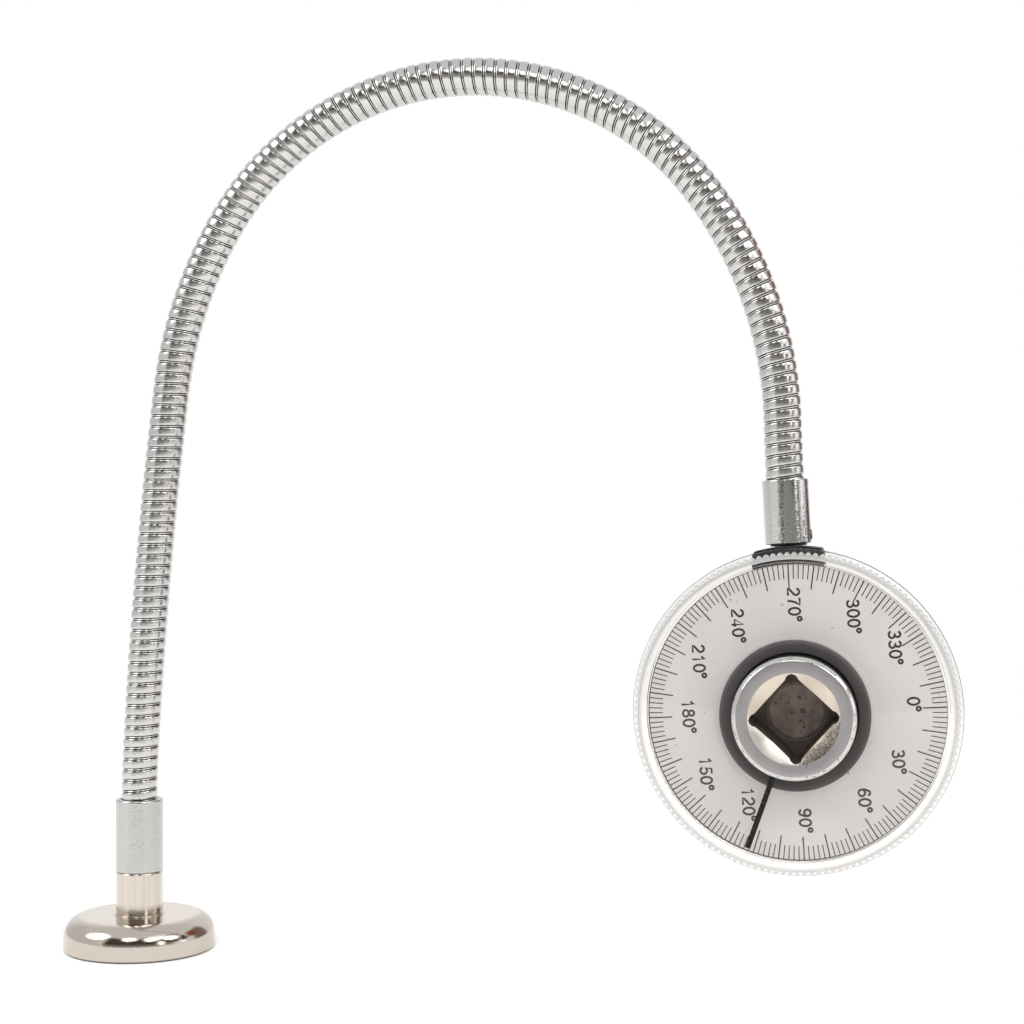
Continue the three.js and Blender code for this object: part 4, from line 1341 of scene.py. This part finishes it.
def spindle_shape(drive):
    front, rear, end = -drive.collar_front, -drive.collar_rear, drive.spindle_end
    friction_front, friction_rear, friction_floor = -12.2 * MM, -10.6 * MM, 11.65 * MM
    snap_front, snap_rear, snap_floor = 8.65 * MM, 9.95 * MM, 8.0 * MM
    body = turned([
        (0, front, 0),
        (drive.collar - drive.collar_bevel, front, 0.2 * MM),
        (drive.collar, front + drive.collar_bevel, 0.35 * MM),
        (drive.collar, friction_front, 0),
        (friction_floor, friction_front, 0),
        (friction_floor, friction_rear, 0),
        (drive.collar, friction_rear, 0),
        (drive.collar, rear, 0.2 * MM),
        (drive.spindle, rear, 0),
        (drive.spindle, snap_front, 0),
        (snap_floor, snap_front, 0),
        (snap_floor, snap_rear, 0),
        (drive.spindle, snap_rear, 0),
        (drive.spindle, end, 0.2 * MM),
        (0, end, 0),
    ], WIDE_STEPS)
    sunk = 0.375 * MM  # how far the square reaches into the round, to join it
    start, tip = end - sunk, end + drive.square_length
    square = block((drive.square, drive.square, tip - start), (0, 0, (start + tip) / 2))
    corner, end_bevel = 8.4 * MM, 1.1 * MM
    turned_corners = turned([
        (0, start - OVERRUN, 0),
        (corner, start - OVERRUN, 0),
        (corner, tip - end_bevel, 0.3 * MM),
        (corner - end_bevel, tip, 0),
        (0, tip, 0),
    ], WIDE_STEPS)
    square = combined(square, turned_corners, "INTERSECT")
    body = combined(body, square, "UNION")
    tool = socket_tool(drive)
    body = combined(body, tool, "DIFFERENCE")
    slope = drive.countersink / drive.countersink_depth
    wide = drive.socket / 2 + drive.countersink
    cone = turned([
        (0, front - OVERRUN, 0),
        (wide + slope * OVERRUN, front - OVERRUN, 0),
        (drive.socket / 2, front + drive.countersink_depth, 0),
        (0, front + drive.countersink_depth, 0),
    ], WIDE_STEPS)
    body = combined(body, cone, "DIFFERENCE")
    hole_radius, hole_depth = 2.15 * MM, 8.9 * MM
    detent_hole = rod(hole_radius, drive.square / 2 - hole_depth, drive.square / 2 + OVERRUN)
    across = Matrix.Translation((0, 0, DETENT_PLACE)) @ Matrix.Rotation(math.pi / 2, 4, "Y")
    return combined(body, moved(detent_hole, across), "DIFFERENCE")


SPINDLE_FINISHES = [
    "satin_chrome_plate", "bead_blasted_chrome", "nicked_chrome_edge", "plated_countersink",
    "broached_steel", "turned_steel",
]


def sort_spindle_faces(shape, drive):
    """Gives each face of the spindle the finish that was worked there."""
    front = -drive.collar_front
    cone_end = front + drive.countersink_depth
    for face in shape.faces:
        centre = face.calc_center_median()
        radius = math.hypot(centre.x, centre.y)
        flat = abs(face.normal.z) > 0.99
        if centre.z < front + WELD:
            finish = "bead_blasted_chrome"
        elif centre.z < front + drive.socket_depth + WELD and radius < drive.collar - 2 * MM:
            sloped = centre.z < cone_end and 0.2 < abs(face.normal.z) < 0.95
            finish = "plated_countersink" if sloped else "broached_steel"
        elif centre.z < -drive.collar_rear and not flat:
            finish = "nicked_chrome_edge"
        elif centre.z > 0:
            finish = "turned_steel"
        else:
            finish = "satin_chrome_plate"
        face.material_index = SPINDLE_FINISHES.index(finish)
    return shape


def drive_pieces(drive):
    spindle = sort_spindle_faces(spindle_shape(drive), drive)
    moved(spindle, Matrix.Rotation(SQUARE_TURN, 4, "Z"))
    piece("drive_collar", spindle, "drive", SPINDLE_FINISHES, ["drive_spindle"], DIAL)

    cord_radius, cord_place = 0.65 * MM, (12.45 * MM, 0, -11.4 * MM)
    cord = bmesh.new()
    bmesh.ops.create_circle(cord, segments=16, radius=cord_radius, cap_ends=False)
    moved(cord, Matrix.Translation(cord_place) @ Matrix.Rotation(math.pi / 2, 4, "X"))
    spin(cord, cord.verts[:] + cord.edges[:], WIDE_STEPS, merge=True)
    sealed(cord)
    piece("friction_cord", cord, "drive", ["nitrile_rubber"], ["friction_ring"], DIAL)

    inner, outer, mouth = 8.15 * MM, 10.55 * MM, 5 * MM
    front, rear, edge = 8.8 * MM, 9.8 * MM, 0.08 * MM
    half_mouth = math.asin(mouth / 2 / outer)
    snap = turned([
        (inner, front, edge),
        (outer, front, edge),
        (outer, rear, edge),
        (inner, rear, edge),
    ], WIDE_STEPS, FULL_TURN - 2 * half_mouth)
    moved(snap, Matrix.Rotation(SNAP_MOUTH + half_mouth, 4, "Z"))
    piece("snap_ring", snap, "drive", ["turned_steel"], ["retaining_ring"], DIAL)

    washer = ring(8.75 * MM, 11.95 * MM, 8.15 * MM, 8.65 * MM, 0.06 * MM)
    piece("spindle_washer", washer, "head", ["turned_steel"], ["rear_washer"], DIAL)

    ball = bmesh.new()
    ball_radius, ball_centre = 2 * MM, 4.95 * MM
    bmesh.ops.create_uvsphere(ball, u_segments=48, v_segments=24, radius=ball_radius)
    place = Matrix.Translation((ball_centre, 0, DETENT_PLACE))
    moved(ball, Matrix.Rotation(SQUARE_TURN, 4, "Z") @ place)
    piece("square_ball", ball, "detent", ["bright_steel_ball"], ["detent_ball"], DIAL)


KEPT_NODES = {
    "foot_stud": "turned_steel",
    "head_stud": "turned_steel",
    "detent_spring": "turned_steel",
    "thrust_washer": "turned_steel",
    "spindle_bush": "sintered_bronze",
}


# Stage

CAMERA_PLACE = Vector((0.16023, -0.40466, 0.09812))
CAMERA_YAW = math.radians(10.61)
CAMERA_PITCH = math.radians(-0.14)
CAMERA_LENS = 67.44
CAMERA_SHIFT_UP = -0.001

FLOOR_NEAR, FLOOR_FAR, FLOOR_SIDE = 0.62, 0.5, 0.7
FLOOR_DROP = 0.05 * MM
FLOOR_GLOW = 0.46
PLAIN_LIGHT = 0.5  # strength of the room's light on surfaces that don't mirror it
TARGET = Vector((0.08, 0, 0.1))

# Soft lamps round the camera: degrees to the right of it, degrees up, width in metres, radiance
LAMPS = [
    (-74, 36, 0.70, 3.4),
    (-12, 39, 0.44, 3.6),
    (28, 35, 0.44, 3.8),
    (64, 31, 0.48, 3.8),
]
# The fill by the camera, which reflections don't show, keeps the scale light right up to its hub
FILL = (0, 6, 0.5, 5.0)
LAMP_DISTANCE = 1.25

# What shiny metal reflects of the room: degrees to the right of the camera, degrees up, the half
# widths of both, colour and strength
ROOM = [
    ("ceiling", 0, 90, 180, 42, "#FFFFFF", 0.86),
    ("left side", -98, 8, 40, 30, "#FFFFFF", 0.8),
    ("table edge", 8, 5, 50, 9, "#FBF8F6", 0.34),
    ("camera side", 20, 29, 62, 14, "#62564F", 0.7),
    ("right side", 118, 8, 12, 26, "#A08A84", 0.8),
    ("red tool", 104, 27, 6, 7, "#A4604E", 0.8),
    ("first strip", 44, 13, 3, 8, "#FFFFFF", 2.6),
    ("second strip", 80, 13, 3, 8, "#FFFFFF", 2.2),
    ("high panel", 46, 44, 12, 6, "#FFFFFF", 1.8),
]


def smooth_band(tree, value, centre, half, soft):
    """1 within a half width of a centre, and 0 beyond it, with a soft edge."""
    away = maths(tree, "SUBTRACT", value, centre)
    away = maths(tree, "ABSOLUTE", away)
    inputs = {"Value": away, "From Min": half, "From Max": half + soft, "To Min": 1.0, "To Max": 0.0}
    return add(tree, "ShaderNodeMapRange", {"interpolation_type": "SMOOTHSTEP"}, inputs).outputs["Result"]


def room_world():
    """White to the camera; a studio with a darker camera side in reflections and through the cover."""
    world = bpy.data.worlds.new("studio_room")
    bpy.context.scene.world = world
    world.use_nodes = True
    tree = world.node_tree
    tree.nodes.clear()
    towards = add(tree, "ShaderNodeTexCoord").outputs["Generated"]
    front = (math.sin(CAMERA_YAW), -math.cos(CAMERA_YAW), 0)
    right = (math.cos(CAMERA_YAW), math.sin(CAMERA_YAW), 0)
    ahead = vector_maths(tree, "DOT_PRODUCT", "Value", towards, front)
    aside = vector_maths(tree, "DOT_PRODUCT", "Value", towards, right)
    turn = maths(tree, "ARCTAN2", aside, ahead)
    height = add(tree, "ShaderNodeSeparateXYZ", inputs={0: towards}).outputs["Z"]
    rise = maths(tree, "ARCSINE", height)
    seen = WHITE
    for _, azimuth, elevation, wide, tall, code, strength in ROOM:
        soft = math.radians(min(8, wide))
        across = smooth_band(tree, turn, math.radians(azimuth), math.radians(wide), soft)
        upward = smooth_band(tree, rise, math.radians(elevation), math.radians(tall), soft)
        both = maths(tree, "MULTIPLY", across, upward)
        seen = mixed(tree, both, seen, shaded(linear(code), strength))
    path = add(tree, "ShaderNodeLightPath").outputs
    reflected, plain, white = (
        add(tree, "ShaderNodeBackground", inputs={"Color": shade, "Strength": strength}).outputs[0]
        for shade, strength in ((seen, 1.0), (WHITE, PLAIN_LIGHT), (WHITE, 1.0))
    )
    in_room = maths(tree, "MAXIMUM", path["Is Glossy Ray"], path["Is Transmission Ray"])
    shown = either(tree, path["Is Camera Ray"], either(tree, in_room, plain, reflected), white)
    add(tree, "ShaderNodeOutputWorld", inputs={"Surface": shown})


def floor_material():
    # A white paper sweep. Seen directly it is white but for the shadows on it.
    tree, shader = start_material("white_paper_sweep")
    fibre = pattern(tree, 6)
    base = mixed(tree, fibre, painted("#F2F1EF"), painted("#EFEDEB"))
    wire(tree, shader, Base_Color=base, Roughness=0.9, Specular_IOR_Level=0.1)
    path = add(tree, "ShaderNodeLightPath")
    seen = path.outputs["Is Camera Ray"]
    for kind in ("Is Glossy Ray", "Is Transmission Ray"):
        seen = maths(tree, "MAXIMUM", seen, path.outputs[kind])
    glow = maths(tree, "MULTIPLY", seen, FLOOR_GLOW)
    wire(tree, shader, Emission_Color=WHITE, Emission_Strength=glow)


def stage_pieces():
    floor_material()
    sheet = bmesh.new()
    bmesh.ops.create_grid(
        sheet, x_segments=2, y_segments=2, size=0.5,
        matrix=Matrix.Translation((TARGET.x, (FLOOR_FAR - FLOOR_NEAR) / 2, -FLOOR_DROP))
        @ Matrix.Diagonal((2 * FLOOR_SIDE, FLOOR_FAR + FLOOR_NEAR, 1, 1)),
    )
    paper = linked("paper_sweep", mesh_of("paper_sweep", sheet))
    paper.data.materials.append(MATERIALS["white_paper_sweep"])

    # flags keep the lamps' glare off the clear cover, though their light falls through it
    flagged = bpy.data.collections.new("flagged_from_lamps")
    flagged.objects.link(bpy.data.objects["dial_cover"])
    flagged.collection_objects[0].light_linking.link_state = "EXCLUDE"
    for i, (azimuth, elevation, width, radiance) in enumerate([*LAMPS, FILL]):
        turn = math.radians(azimuth) + CAMERA_YAW
        rise = math.radians(elevation)
        outward = Vector((
            math.sin(turn) * math.cos(rise), -math.cos(turn) * math.cos(rise), math.sin(rise)
        ))
        data = bpy.data.lights.new(f"soft_lamp_{i + 1}", "AREA")
        data.shape = "DISK"
        data.size = width
        data.energy = radiance * math.pi ** 2 * (width / 2) ** 2
        lamp = linked(data.name, data)
        lamp.location = TARGET + outward * LAMP_DISTANCE
        lamp.rotation_euler = outward.to_track_quat("Z", "Y").to_euler()
        if i < len(LAMPS):
            lamp.light_linking.receiver_collection = flagged
        else:
            lamp.visible_glossy = False

    data = bpy.data.cameras.new("photo_camera")
    data.lens = CAMERA_LENS
    data.shift_y = CAMERA_SHIFT_UP
    data.clip_start = 0.01
    camera = linked("photo_camera", data)
    camera.location = CAMERA_PLACE
    camera.rotation_euler = (math.pi / 2 + CAMERA_PITCH, 0, CAMERA_YAW)
    bpy.context.scene.camera = camera
    bpy.context.scene.view_settings.view_transform = "Standard"
    room_world()


# Operators

class GAUGE_OT_finishes(bpy.types.Operator):
    """Makes the materials of the gauge"""

    bl_idname = "gauge.finishes"
    bl_label = "Finishes"

    def execute(self, context):
        finish = context.scene.gauge_finish
        for make in (
            polished_nickel, satin_chrome, gritty_chrome, wound_chrome, wire_bead, groove_shade,
            blasted_chrome, worn_edge, countersink_plate, socket_steel, machined_steel, moulded_black,
            moulded_grey, scale_face, printed_ink, pointer_black, clear_acrylic,
        ):
            make(finish)
        plain_finishes()
        for node, name in KEPT_NODES.items():
            dress(node, name)
        return {"FINISHED"}


class GAUGE_OT_foot(bpy.types.Operator):
    """Models the magnet foot, its post and the lower ferrule"""

    bl_idname = "gauge.foot"
    bl_label = "Magnet foot"

    def execute(self, context):
        foot_pieces(context.scene.gauge_foot)
        return {"FINISHED"}


class GAUGE_OT_gooseneck(bpy.types.Operator):
    """Winds the gooseneck and bends it on to its route"""

    bl_idname = "gauge.gooseneck"
    bl_label = "Gooseneck"

    def execute(self, context):
        gooseneck_pieces(context.scene.gauge_arm)
        return {"FINISHED"}


class GAUGE_OT_hanger(bpy.types.Operator):
    """Models the upper ferrule, its set screw and the neck"""

    bl_idname = "gauge.hanger"
    bl_label = "Upper ferrule"

    def execute(self, context):
        hanger_pieces(context.scene.gauge_arm, context.scene.gauge_foot)
        return {"FINISHED"}


class GAUGE_OT_scale(bpy.types.Operator):
    """Models the scale with its marks and numerals"""

    bl_idname = "gauge.scale"
    bl_label = "Scale"

    def execute(self, context):
        scale_pieces(context.scene.gauge_dial)
        return {"FINISHED"}


class GAUGE_OT_housing(bpy.types.Operator):
    """Models the housing behind the scale"""

    bl_idname = "gauge.housing"
    bl_label = "Rear housing"

    def execute(self, context):
        housing_pieces(context.scene.gauge_dial)
        return {"FINISHED"}


class GAUGE_OT_cover(bpy.types.Operator):
    """Models the clear cover with its hub ring and pointer"""

    bl_idname = "gauge.cover"
    bl_label = "Clear cover"

    def execute(self, context):
        cover_pieces(context.scene.gauge_dial)
        return {"FINISHED"}


class GAUGE_OT_drive(bpy.types.Operator):
    """Models the drive spindle and the rings on it"""

    bl_idname = "gauge.drive"
    bl_label = "Drive spindle"

    def execute(self, context):
        drive_pieces(context.scene.gauge_drive)
        return {"FINISHED"}


class GAUGE_OT_stage(bpy.types.Operator):
    """Sets the floor, the lamps, the room and the camera"""

    bl_idname = "gauge.stage"
    bl_label = "Stage"

    def execute(self, context):
        stage_pieces()
        return {"FINISHED"}


OPERATORS = [
    GAUGE_OT_finishes,
    GAUGE_OT_foot,
    GAUGE_OT_gooseneck,
    GAUGE_OT_hanger,
    GAUGE_OT_scale,
    GAUGE_OT_housing,
    GAUGE_OT_cover,
    GAUGE_OT_drive,
    GAUGE_OT_stage,
]


class GAUGE_PT_pieces(bpy.types.Panel):
    bl_idname = "GAUGE_PT_pieces"
    bl_label = "Torque angle gauge"
    bl_space_type = "VIEW_3D"
    bl_region_type = "UI"
    bl_category = "Gauge"

    def draw(self, context):
        for operator in OPERATORS:
            self.layout.operator(operator.bl_idname)
        for name, group in SIZE_GROUPS.items():
            box = self.layout.box()
            for field in group.__annotations__:
                box.prop(getattr(context.scene, name), field)


def register():
    for group in SIZE_GROUPS.values():
        bpy.utils.register_class(group)
    for name, group in SIZE_GROUPS.items():
        setattr(bpy.types.Scene, name, PointerProperty(type=group))
    for cls in [*OPERATORS, GAUGE_PT_pieces]:
        bpy.utils.register_class(cls)


def unregister():
    for cls in reversed([*OPERATORS, GAUGE_PT_pieces]):
        bpy.utils.unregister_class(cls)
    for name, group in SIZE_GROUPS.items():
        delattr(bpy.types.Scene, name)
        bpy.utils.unregister_class(group)


def main():
    register()
    for operator in OPERATORS:
        group, name = operator.bl_idname.split(".")
        getattr(getattr(bpy.ops, group), name)()


if __name__ == "__main__":
    main()
